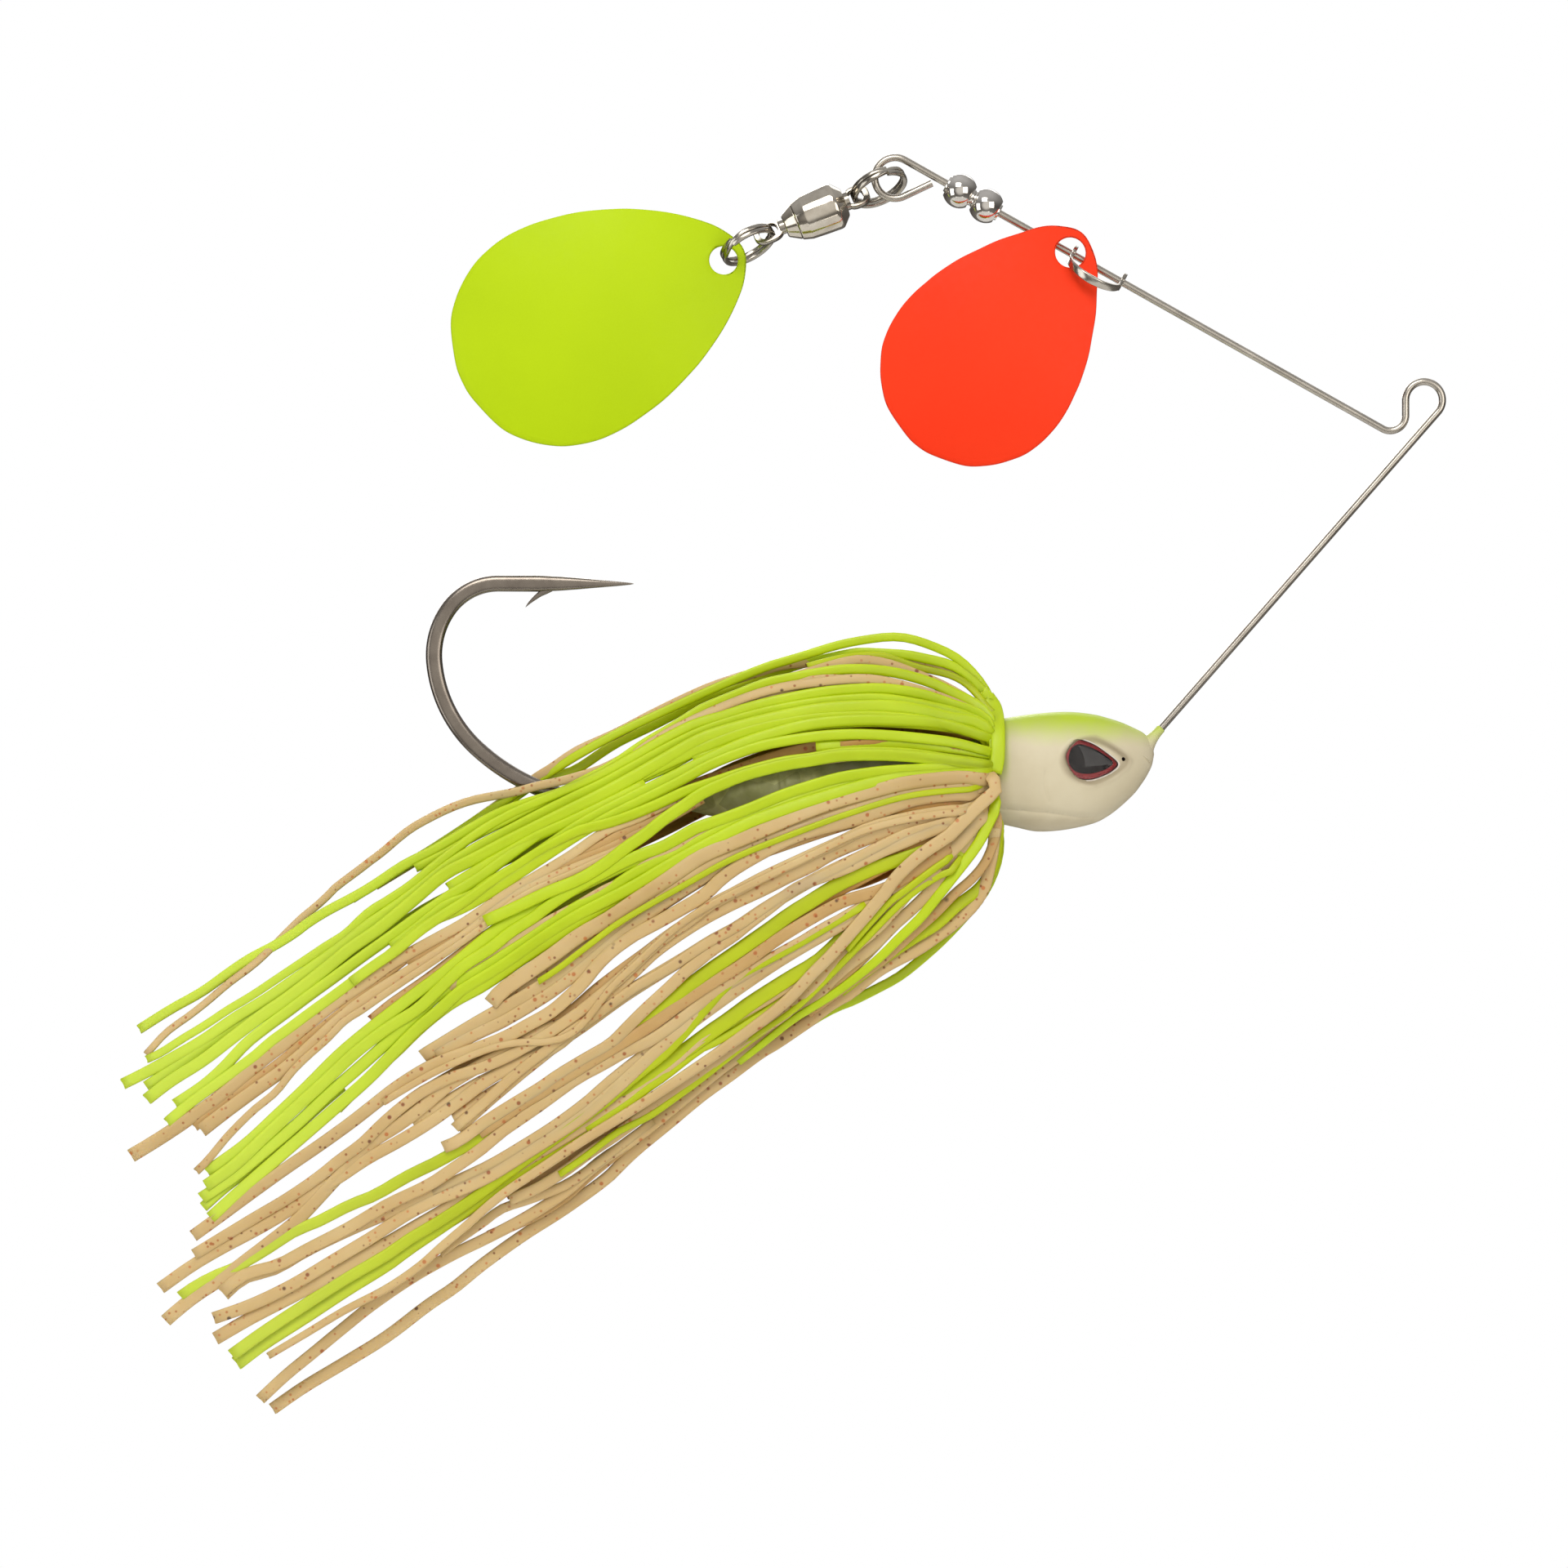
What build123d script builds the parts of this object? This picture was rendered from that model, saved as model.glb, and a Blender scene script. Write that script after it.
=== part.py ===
from build123d import *
import math
import os

# Spinnerbait: a bent spring-steel wire frame with a cast lead head and a hook at
# its lower end, a silicone skirt behind the head, and two spinning blades on the
# upper arm.  The front blade runs on a clevis behind two beads; the rear blade
# trails from the end loop on a split ring, a ball-bearing swivel and a second
# split ring.
#
# Frame: origin at the centre of the R-bend (the line tie), +X toward the nose,
# +Z up, -Y the left side of the lure.  Millimetres.

os.makedirs("parts", exist_ok=True)

# ---------------------------------------------------------------- dimensions
WIRE_D = 0.9                      # spring wire
TIE_R = 2.25                      # R-bend, wire centreline
TIE_TURN = 221.2                  # degrees the wire turns round the line tie
TIE_LEG = 1.86                    # straight leg below the R-bend
TIE_KINK_R = 1.9                  # second, reversed bend of the R
ARM_UP = (-0.8716, 0.4903)        # direction of the upper arm, X and Z
ARM_UP_L = 67.07
LOOP_R = 2.5                      # end loop, wire centreline
LOOP_TURN = 234.7
LOOP_LEG = 3.79                   # leg that closes the end loop against the arm
ARM_LOW = (0.6585, 0.7526)        # direction of the lower arm, X and Z

SHANK_TILT = 4.57                 # hook shank and head axis, nose up
HOOK_PLANE = 2.0                  # forged hook wire, in the plane of the hook
HOOK_THICK = 1.5                  # and across it
BEND_END = (-96.71, -49.33)       # where the bend meets the shank
HOOK_ARCS = [(25.41, 47.61), (16.31, 41.83), (9.77, 40.03), (7.44, 55.23)]
POINT_L = 16.6                    # point and barb, from the last bend to the tip

HEAD_BACK = -51.9                 # X of the rear face of the head
KEEPER_R = 3.0                    # lead collar that the skirt grips
BEAD_R = 2.13
BEAD_L = 3.67
BEAD_PITCH = 3.69
BEAD_AT = (7.70, 11.39)           # along the arm from the end loop
BEAD_BORE = 0.52
CLEVIS_AT = (-40.04, 16.16)       # mid-point between its ears, X and Z
CLEVIS_HALF = 3.45                # half the distance between its ears
CLEVIS_LEG = 1.7
CLEVIS_TURN = 67.0                # bow swung out of the lure's plane, toward -Y
STRIP_T = 0.5
STRIP_W = 0.8
EAR_R = 1.15
BLADE_T = 0.65
RING_R = 3.3                      # split rings, centreline
RING_RADIAL = 0.6
RING_AXIAL = 1.2
SWIVEL_AT = (-78.29, 21.28)       # rear face of the swivel's cone, X and Z
SWIVEL_TILT = 21.9
SKIRT_T = 0.6                     # thickness of one layer of strands


# ------------------------------------------------------------------- helpers
def P3(x, z, y=0.0):
    return Vector(x, y, z)


class Trace:
    """A run of tangent lines and arcs in the XZ plane (Y = 0)."""

    def __init__(self, x, z, heading):
        self.x, self.z, self.h, self.edges = x, z, math.radians(heading), []

    def go(self, length):
        x2 = self.x + length * math.cos(self.h)
        z2 = self.z + length * math.sin(self.h)
        self.edges.append(Edge.make_line(P3(self.x, self.z), P3(x2, z2)))
        self.x, self.z = x2, z2
        return self

    def turn(self, radius, degrees):
        """Positive turns left (counter-clockwise seen from -Y)."""
        s = 1 if degrees > 0 else -1
        a = math.radians(degrees)
        cx = self.x - s * radius * math.sin(self.h)
        cz = self.z + s * radius * math.cos(self.h)

        def at(t):
            g = self.h + t
            return cx + s * radius * math.sin(g), cz - s * radius * math.cos(g)

        m, e = at(a / 2), at(a)
        self.edges.append(Edge.make_three_point_arc(P3(self.x, self.z), P3(*m), P3(*e)))
        self.x, self.z, self.h = e[0], e[1], self.h + a
        return self

    def wire(self):
        return Wire(self.edges)


def put(part, origin, x_dir, z_dir):
    return part.moved(Plane(origin=origin, x_dir=x_dir, z_dir=z_dir).location)


def turned(profile):
    """Solid of revolution about X from (x, r) points."""
    with BuildPart() as b:
        with BuildSketch(Plane.XZ):
            with BuildLine():
                Polyline(*[(x, r) for x, r in profile], close=True)
            make_face()
        revolve(axis=Axis.X)
    return b.part


def rod(radius, x0, x1):
    """Cylinder on the X axis."""
    return Solid.make_cylinder(radius, x1 - x0, Plane(origin=(x0, 0, 0), z_dir=(1, 0, 0)))


def save(name, shape):
    solids = shape.solids() if hasattr(shape, "solids") else shape
    c = Compound(children=list(solids)) if len(solids) > 1 else solids[0]
    export_step(c, f"parts/{name}.step")


# ---------------------------------------------------------------- wire frame
ang_low = math.degrees(math.atan2(ARM_LOW[1], ARM_LOW[0]))
ang_up = math.degrees(math.atan2(ARM_UP[1], ARM_UP[0]))
tilt = math.radians(SHANK_TILT)
a_x, a_z = math.cos(tilt), math.sin(tilt)          # shank direction, forward
# the R-bend's tangent point on the lower arm, and where that line meets the shank
t1 = (TIE_R * math.sin(math.radians(ang_low)), -TIE_R * math.cos(math.radians(ang_low)))
det = -ARM_LOW[0] * a_z + ARM_LOW[1] * a_x
s_eye = ((t1[1] - BEND_END[1]) * ARM_LOW[0] - (t1[0] - BEND_END[0]) * ARM_LOW[1]) / (-det)
EYE = (BEND_END[0] + s_eye * a_x, BEND_END[1] + s_eye * a_z)
arm_len = math.hypot(t1[0] - EYE[0], t1[1] - EYE[1])

# buried end: back along the shank, round a bend, through the hook's eye
TAIL_RUN, TAIL_BEND, TAIL_STEP = 6.0, 2.0, 1.75
rise = ang_low - SHANK_TILT
buried = (TAIL_STEP - TAIL_BEND * (1 - math.cos(math.radians(rise)))) / math.sin(math.radians(rise))
probe = Trace(0, 0, SHANK_TILT).go(TAIL_RUN).turn(TAIL_BEND, rise).go(buried)
start = (EYE[0] - probe.x, EYE[1] - probe.z)
w = Trace(start[0], start[1], SHANK_TILT).go(TAIL_RUN).turn(TAIL_BEND, rise)
w.go(buried + arm_len)
w.turn(TIE_R, 270 - ang_low)                      # to straight down
w.go(TIE_LEG)
w.turn(TIE_KINK_R, -(270 - ang_up))               # reversed, out along the arm
knee = (w.x, w.z)
w.go(ARM_UP_L)
loop_start = (w.x, w.z)
w.turn(LOOP_R, LOOP_TURN)
w.go(LOOP_LEG)
path = w.wire()
wire_frame = Solid.sweep(
    Face(Wire.make_circle(WIRE_D / 2, Plane(origin=P3(*start), z_dir=P3(a_x, a_z)))), path=path
)
save("wire_frame", wire_frame)

# ---------------------------------------------------------------------- hook
# Forged section: wider in the plane of the bend than across it.
SHANK_START = 1.8                 # behind the eye's centre
h = Trace(EYE[0] - SHANK_START * a_x, EYE[1] - SHANK_START * a_z, 180 + SHANK_TILT)
h.go(s_eye - SHANK_START)
for r, a in HOOK_ARCS:
    h.turn(r, -a)
spear = (h.x, h.z, h.h)
start_plane = Plane(origin=P3(EYE[0] - SHANK_START * a_x, EYE[1] - SHANK_START * a_z), x_dir=(0, 1, 0), z_dir=P3(-a_x, -a_z))
section = (start_plane * RectangleRounded(HOOK_THICK, HOOK_PLANE, 0.55)).face()
bend = Solid.sweep(section, path=h.wire())
# spear point: a loft from the forged section to a needle tip
hx, hz = math.cos(h.h), math.sin(h.h)


def spear_face(d, wide, deep, drop=0.0):
    nx, nz = -hz, hx
    pl = Plane(origin=P3(spear[0] + d * hx - drop * nx, spear[1] + d * hz - drop * nz), x_dir=(0, 1, 0), z_dir=P3(hx, hz))
    return (pl * RectangleRounded(wide, deep, min(wide, deep) * 0.36)).face()


spear_point = Solid.make_loft(
    [
        spear_face(0, HOOK_THICK, HOOK_PLANE).outer_wire(),
        spear_face(5.2, 1.45, 1.9).outer_wire(),
        spear_face(8.6, 1.2, 1.45).outer_wire(),
        spear_face(12.4, 0.8, 0.95).outer_wire(),
        spear_face(POINT_L - 1.1, 0.3, 0.36).outer_wire(),
        spear_face(POINT_L, 0.08, 0.08).outer_wire(),
    ]
)
barb = Solid.extrude(
    Face(Wire.make_polygon([
        P3(spear[0] + 5.1, spear[1] - 0.6, -0.35), P3(spear[0] + 3.0, spear[1] - 2.95, -0.35),
        P3(spear[0] + 3.55, spear[1] - 0.6, -0.35)], close=True)), Vector(0, 0.7, 0))
eye_pl = Plane(origin=P3(*EYE), z_dir=P3(-a_z, a_x))
eye_ring = Solid.make_torus(1.4, 0.45, eye_pl)
hook = bend.fuse(spear_point).fuse(barb).fuse(eye_ring)
save("hook", hook)

# -------------------------------------------------------------- head casting
# stations: X, top Z, bottom Z, half-width
HEAD = [
    (-51.9, -39.0, -51.9, 4.35), (-50.0, -38.72, -52.32, 4.62), (-47.6, -38.42, -52.82, 4.82),
    (-45.2, -38.22, -52.77, 4.86), (-42.8, -38.22, -52.42, 4.72), (-40.4, -38.52, -51.82, 4.36),
    (-38.8, -38.92, -51.02, 3.98), (-37.2, -39.42, -49.82, 3.45), (-35.6, -40.12, -48.32, 2.75),
    (-34.4, -40.6, -46.7, 2.0), (-33.5, -41.4, -45.2, 1.15),
]
rings = []
for x, zt, zb, hw in HEAD:
    pl = Plane(origin=(x, 0, (zt + zb) / 2), x_dir=(0, 1, 0), z_dir=(1, 0, 0))
    rings.append(Wire.make_ellipse(hw, (zt - zb) / 2, pl))
head = Solid.make_loft(rings)
nose_tip = Solid.make_loft([rings[-1], Wire.make_ellipse(0.25, 0.6, Plane(origin=(-33.1, 0, -43.2), x_dir=(0, 1, 0), z_dir=(1, 0, 0)))])
# collar of paint and lead round the wire where it leaves the nose
cone_s = Plane(origin=P3(EYE[0] + 3.2 * ARM_LOW[0], EYE[1] + 3.2 * ARM_LOW[1]), z_dir=P3(*ARM_LOW))
nose_cone = Solid.make_cone(1.7, 0.62, 4.4, cone_s)
# keeper and cast tail, on the shank's axis; distances run backward from the rear face
KEEP_Z = BEND_END[1] + (HEAD_BACK - BEND_END[0]) * a_z / a_x
KEEP = (HEAD_BACK, 0, KEEP_Z)
keeper_profile = [
    (2.5, 0), (2.5, KEEPER_R), (-9.6, KEEPER_R), (-10.4, 3.25), (-21.6, 3.3), (-26.3, 3.5),
    (-26.5, 3.25), (-26.9, 3.25), (-27.1, 3.5), (-31.2, 3.42), (-33.4, 3.2), (-38.4, 1.25), (-38.4, 0),
]
keeper = put(turned(keeper_profile), KEEP, (a_x, 0, a_z), (-a_z, 0, a_x))
casting = head.fuse(nose_tip).fuse(nose_cone).fuse(keeper)

# eye sockets: shallow teardrop recesses that follow the taper of the cheeks
EYE_OUT = [(-44.2, -43.75), (-43.3, -42.2), (-41.9, -41.4), (-40.4, -41.5), (-38.2, -42.6), (-36.35, -44.1),
           (-37.4, -45.4), (-39.5, -46.6), (-41.3, -47.0), (-43.2, -46.0)]
EYE_MID = (-40.5, -44.1)
CHEEK = 11.5                      # degrees the cheek turns in toward the nose


def eye_shape(scale, side):
    """Teardrop in the cheek's plane, on the given side (-1 left, +1 right)."""
    pts = [(EYE_MID[0] + (x - EYE_MID[0]) * scale, EYE_MID[1] + (z - EYE_MID[1]) * scale) for x, z in EYE_OUT]
    n = Vector(math.sin(math.radians(CHEEK)), side * math.cos(math.radians(CHEEK)), 0)
    along = Vector(math.cos(math.radians(CHEEK)), -side * math.sin(math.radians(CHEEK)), 0)
    base = Vector(EYE_MID[0], side * 3.62, 0)
    ring = [base + along * (x - EYE_MID[0]) + Vector(0, 0, z) for x, z in pts]
    return Face(Wire([Edge.make_spline(ring, periodic=True)])), n


for side in (-1, 1):
    f, n = eye_shape(1.0, side)
    casting = casting.cut(Solid.extrude(f, n * 3.0))
casting = casting.cut(hook).cut(wire_frame)
save("head_casting", casting)
for side, word in ((-1, "left"), (1, "right")):
    f, n = eye_shape(0.93, side)
    film = Solid.extrude(f, n * 0.12)
    save(f"eye_film_{word}", film)
    f2, _ = eye_shape(0.9, side)
    dome = Solid.extrude(f2.moved(Location(n * 0.13)), n * 0.42)
    save(f"eye_dome_{word}", dome)

# --------------------------------------------------------------------- skirt
band = put(turned([(-5.1, 3.88), (-5.1, 4.5), (-5.5, 4.9), (-7.2, 4.9), (-7.6, 4.5), (-7.6, 3.88)]),
           KEEP, (a_x, 0, a_z), (-a_z, 0, a_x))
save("skirt_band", band)


def on_axis(q, r):
    """Top, centre and bottom points of a ring of radius r, q behind the head."""
    cx, cz = KEEP[0] - q * a_x, KEEP_Z - q * a_z
    return ((cx - r * a_z, cz + r * a_x), (cx, cz), (cx + r * a_z, cz - r * a_x), r)


# Each station: top, side and bottom points of the strand layer and its half-depth.
SKIRT = [
    on_axis(7.5, 3.12), on_axis(4.6, 3.12), on_axis(2.4, 3.5), on_axis(1.1, 4.7),
    ((-52.9, -39.2), (-52.75, -45.9), (-52.55, -52.4), 6.1),
    ((-52.6, -37.0), (-52.9, -46.3), (-52.35, -55.2), 7.4),
    ((-54.2, -33.4), (-55.0, -47.8), (-52.7, -59.6), 9.3),
    ((-58.4, -30.3), (-60.0, -50.0), (-55.4, -65.0), 10.8),
    ((-65.6, -28.9), (-68.0, -53.5), (-62.8, -70.6), 11.5),
    ((-75.9, -31.3), (-79.0, -59.0), (-74.4, -77.2), 11.6),
    ((-94.4, -37.3), (-98.0, -69.0), (-88.6, -87.2), 11.0),
    ((-110.4, -44.8), (-113.0, -79.0), (-104.6, -100.2), 10.0),
    ((-126.4, -54.0), (-130.0, -91.5), (-124.2, -113.6), 9.0),
    ((-156.6, -76.4), (-151.5, -107.0), (-140.9, -123.6), 7.5),
]


def skirt_point(station, phi):
    (tx, tz), (cx, cz), (bx, bz), d = station
    c, s = math.cos(phi), math.sin(phi)
    px, pz = (tx, tz) if c >= 0 else (bx, bz)
    return Vector(cx + (px - cx) * abs(c), -d * s, cz + (pz - cz) * abs(c))


def skirt_bundle(phi0, phi1, steps=4, trim=0.0):
    """One layer of strands between two angles round the head, 0 up and 90 left."""
    a = [math.radians(phi0 + (phi1 - phi0) * k / steps) for k in range(steps + 1)]
    grid = [[skirt_point(s, p) for p in a] for s in SKIRT]
    n_s, n_a = len(grid), len(a)
    inner = []
    for i in range(n_s):
        row = []
        for j in range(n_a):
            along = grid[min(i + 1, n_s - 1)][j] - grid[max(i - 1, 0)][j]
            across = grid[i][min(j + 1, n_a - 1)] - grid[i][max(j - 1, 0)]
            n = along.cross(across).normalized()
            if phi1 > phi0:
                n = n * -1
            row.append(grid[i][j] + n * SKIRT_T)
        inner.append(row)
    faces = []

    def quad(p, q, r, s):
        faces.append(Face(Wire.make_polygon([p, q, r], close=True)))
        faces.append(Face(Wire.make_polygon([p, r, s], close=True)))

    for i in range(n_s - 1):
        for j in range(n_a - 1):
            quad(grid[i][j], grid[i + 1][j], grid[i + 1][j + 1], grid[i][j + 1])
            quad(inner[i][j], inner[i + 1][j], inner[i + 1][j + 1], inner[i][j + 1])
        for j in (0, n_a - 1):
            quad(grid[i][j], grid[i + 1][j], inner[i + 1][j], inner[i][j])
    for i in (0, n_s - 1):
        for j in range(n_a - 1):
            quad(grid[i][j], grid[i][j + 1], inner[i][j + 1], inner[i][j])
    solid = Solid(Shell(faces))
    return solid


BUNDLES = [("upper", 13, 50), ("upper_middle", 52, 88), ("lower_middle", 90, 134), ("lower", 136, 177)]
for word, p0, p1 in BUNDLES:
    save(f"skirt_{word}_left", skirt_bundle(p0, p1))
    save(f"skirt_{word}_right", skirt_bundle(-p0, -p1))

# --------------------------------------------------------------------- beads
arm = Vector(ARM_UP[0], 0, ARM_UP[1])              # toward the end loop
fwd = arm * -1                                     # toward the R-bend
side_n = Vector(-ARM_UP[1], 0, ARM_UP[0]) * 1      # in the lure's plane


def arm_point(back):
    return P3(*loop_start) + fwd * back


bead_profile = []
half = BEAD_L / 2
for k in range(-12, 13):
    x = 1.62 * k / 12
    bead_profile.append((x, math.sqrt(BEAD_R ** 2 - x ** 2)))
bead_profile = [(-half, BEAD_BORE), (-half, 1.02), (-1.62, 1.02)] + bead_profile + [(1.62, 1.02), (half, 1.02), (half, BEAD_BORE)]
bead = turned(bead_profile)
for name, back in zip(("bead_rear", "bead_front"), BEAD_AT):
    save(name, put(bead, arm_point(back), fwd, Vector(0, -1, 0)))

# -------------------------------------------------------------------- clevis
turn = math.radians(CLEVIS_TURN)
down_n = Vector(ARM_UP[1] * -1, 0, ARM_UP[0]) * 1.0
down_n = Vector(-0.4903, 0, -0.8716)
bow_dir = (down_n * math.cos(turn) + Vector(0, -1, 0) * math.sin(turn)).normalized()
r_o, r_i, leg = CLEVIS_HALF + STRIP_T / 2, CLEVIS_HALF - STRIP_T / 2, CLEVIS_LEG
bow_face = Face(Wire([
    Edge.make_line(Vector(-r_o, 0.7), Vector(-r_o, leg)),
    Edge.make_three_point_arc(Vector(-r_o, leg), Vector(0, leg + r_o), Vector(r_o, leg)),
    Edge.make_line(Vector(r_o, leg), Vector(r_o, 0.7)),
    Edge.make_line(Vector(r_o, 0.7), Vector(r_i, 0.7)),
    Edge.make_line(Vector(r_i, 0.7), Vector(r_i, leg)),
    Edge.make_three_point_arc(Vector(r_i, leg), Vector(0, leg + r_i), Vector(-r_i, leg)),
    Edge.make_line(Vector(-r_i, leg), Vector(-r_i, 0.7)),
    Edge.make_line(Vector(-r_i, 0.7), Vector(-r_o, 0.7)),
]))
bow = Solid.extrude(bow_face.moved(Location((0, 0, -STRIP_W / 2))), Vector(0, 0, STRIP_W))
clevis = bow
for sx in (-1, 1):
    x0 = sx * CLEVIS_HALF - STRIP_T / 2
    clevis = clevis.fuse(rod(EAR_R, x0, x0 + STRIP_T))
tip = Face(Wire.make_polygon([Vector(CLEVIS_HALF - STRIP_T / 2, -0.85, -0.55), Vector(CLEVIS_HALF - STRIP_T / 2, -0.85, 0.55),
                              Vector(CLEVIS_HALF - STRIP_T / 2, -1.95, 0.0)], close=True))
clevis = clevis.fuse(Solid.extrude(tip, Vector(STRIP_T, 0, 0)))
clevis = clevis.cut(rod(WIRE_D / 2 + 0.07, -6, 6))
# local x along the arm toward the R-bend, local y into the bow
clevis = put(clevis, P3(*CLEVIS_AT), fwd, fwd.cross(bow_dir))
save("clevis", clevis)

# -------------------------------------------------------------------- blades
# (distance along the axis from the middle, half-width), near end negative
REAR_OUT = [(-17.33, 0), (-17.23, 2.0), (-15.65, 6.9), (-14.07, 9.12), (-12.49, 10.62), (-10.91, 11.74), (-9.33, 12.61),
            (-7.75, 13.12), (-6.17, 13.53), (-4.59, 13.73), (-3.01, 13.75), (-1.43, 13.68), (0.15, 13.46), (1.73, 13.17),
            (3.31, 12.86), (4.89, 12.41), (6.48, 11.85), (8.06, 11.23), (9.64, 10.58), (11.22, 9.75), (12.8, 8.85),
            (14.38, 7.85), (15.96, 6.68), (17.54, 5.32), (19.12, 3.71), (20.7, 1.05), (20.8, 0)]
FRONT_OUT = [(-14.76, 0), (-14.66, 1.57), (-13.29, 5.78), (-11.92, 7.67), (-10.55, 9.06), (-9.19, 10.03), (-7.82, 10.92),
             (-6.45, 11.39), (-5.08, 11.74), (-3.71, 11.89), (-2.34, 11.98), (-0.97, 11.88), (0.39, 11.71), (1.76, 11.38),
             (3.13, 11.1), (4.5, 10.64), (5.87, 10.17), (7.24, 9.57), (8.6, 8.85), (9.97, 8.17), (11.34, 7.43), (12.71, 6.49),
             (14.08, 5.52), (15.45, 4.64), (16.81, 3.25), (18.18, 0.89), (18.28, 0)]


def blade(outline, near_tip, far_tip, hole, hole_r, hole_y, dish):
    """Dished teardrop, bulging toward -Y, its axis from the far tip to the near one."""
    axis = Vector(near_tip[0] - far_tip[0], 0, near_tip[1] - far_tip[1])
    length = axis.length
    axis = axis.normalized()
    cross = Vector(-axis.Z, 0, axis.X)
    span = outline[-1][0] - outline[0][0]
    scale = length / span
    origin = P3(*far_tip) + axis * (-outline[0][0] * scale)
    pts = [origin + axis * (t * scale) + cross * w for t, w in outline[1:-1]]
    pts += [origin + axis * (t * scale) - cross * w for t, w in reversed(outline[1:-1])]
    pts = [P3(*far_tip)] + pts[: len(outline) - 2] + [P3(*near_tip)] + pts[len(outline) - 2:]
    face = Face(Wire([Edge.make_spline(pts, periodic=True)]))
    prism = Solid.extrude(face.moved(Location((0, -30, 0))), Vector(0, 60, 0))
    half_l = length / 2
    big = (half_l ** 2 + dish ** 2) / (2 * dish)
    mid = origin
    reach = math.hypot(hole[0] - mid.X, hole[1] - mid.Z)
    top_y = hole_y - (big - math.sqrt(big ** 2 - reach ** 2))   # crown of the dish
    centre = Vector(mid.X, top_y + big, mid.Z)
    shell = Solid.make_sphere(big + BLADE_T / 2, Plane(origin=centre)).cut(
        Solid.make_sphere(big - BLADE_T / 2, Plane(origin=centre)))
    front = Solid.make_box(120, 40, 120, Plane(origin=(mid.X - 60, centre.Y - 40 - big * 0.5, mid.Z - 60)))
    body = prism.intersect(shell)
    body = body.solids() if hasattr(body, "solids") else ShapeList([body])
    body = sorted(body, key=lambda s: s.center().Y)[0]
    return body.cut(Solid.make_cylinder(hole_r, 60, Plane(origin=P3(hole[0], hole[1], 30), z_dir=(0, -1, 0))))


front_blade = blade(FRONT_OUT, (-41.98, 20.49), (-61.96, -5.83), (-43.38, 17.92), 1.88, -1.7, 2.4)
save("front_blade", front_blade)
rear_blade = blade(REAR_OUT, (-83.31, 18.59), (-117.75, 2.22), (-85.77, 17.1), 1.75, 0.0, 3.2)
save("rear_blade", rear_blade)

# --------------------------------------------------------------- split rings
def split_ring():
    """Two touching coils, drawn as one closed ring with a groove between them."""
    a, c = RING_AXIAL / 2, 0.14
    ri, ro = RING_R - RING_RADIAL / 2, RING_R + RING_RADIAL / 2
    prof = [(-a, ri + c), (-a, ro - c), (-a + c, ro), (-0.09, ro), (0, ro - 0.12), (0.09, ro), (a - c, ro), (a, ro - c),
            (a, ri + c), (a - c, ri), (0.09, ri), (0, ri + 0.12), (-0.09, ri), (-a + c, ri)]
    return turned(prof)


def ring_frame(pivot, direction, lean):
    """Ring plane holds the given XZ direction and the tangent at the pivot."""
    d = Vector(direction[0], 0, direction[1]).normalized()
    perp = Vector(-d.Z, 0, d.X)
    tangent = Vector(0, -1, 0) * math.cos(math.radians(lean)) + perp * math.sin(math.radians(lean))
    axis = d.cross(tangent).normalized()
    return d, tangent, axis


FRONT_RING_AT = (-63.75, 27.42)    # its wire inside the end loop
FRONT_RING_DIR = (0.911, 0.411)
FRONT_LEAN = 24.0
REAR_RING_AT = (-79.91, 20.63)     # its wire in the swivel's rear slot
REAR_RING_DIR = (0.871, 0.492)
REAR_LEAN = 20.0
for name, at, dr, lean in (("front_split_ring", FRONT_RING_AT, FRONT_RING_DIR, FRONT_LEAN),
                           ("rear_split_ring", REAR_RING_AT, REAR_RING_DIR, REAR_LEAN)):
    d, tangent, axis = ring_frame(at, dr, lean)
    centre = P3(*at) - d * RING_R
    save(name, put(split_ring(), centre, axis, d))

# -------------------------------------------------------------------- swivel
sw = math.radians(SWIVEL_TILT)
e_dir, p_dir = Vector(math.cos(sw), 0, math.sin(sw)), Vector(-math.sin(sw), 0, math.cos(sw))


def place_swivel(part):
    return put(part, P3(*SWIVEL_AT), e_dir, p_dir)


barrel = turned([(1.55, 2.2), (1.55, 2.34), (2.75, 2.73), (6.5, 2.92), (7.1, 2.62), (7.97, 1.7), (7.97, 1.23), (6.9, 1.23), (6.9, 2.2)])
save("swivel_barrel", place_swivel(barrel))
cap = turned([(0, 0.92), (0, 1.43), (1.54, 2.32), (1.54, 2.18), (2.3, 2.18), (2.3, 0.92)])
save("swivel_cone_cap", place_swivel(cap))


def tab(x0, x1, width, slot0, slot1, slot_w, lean):
    """Flattened eye of a stem: rounded plate with an oblong slot, leaned about X."""
    t = 1.0
    L, Wd = abs(x1 - x0), width
    mid = (x0 + x1) / 2
    with BuildPart() as b:
        with BuildSketch(Plane.XZ):
            with Locations((mid, 0)):
                RectangleRounded(L, Wd, Wd / 2 - 0.01 if L > Wd else L / 2 - 0.01)
            with Locations(((slot0 + slot1) / 2, 0)):
                RectangleRounded(slot1 - slot0, slot_w, min(slot1 - slot0, slot_w) / 2 - 0.02, mode=Mode.SUBTRACT)
        extrude(amount=t / 2, both=True)
    return b.part.rotate(Axis.X, lean)


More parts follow.
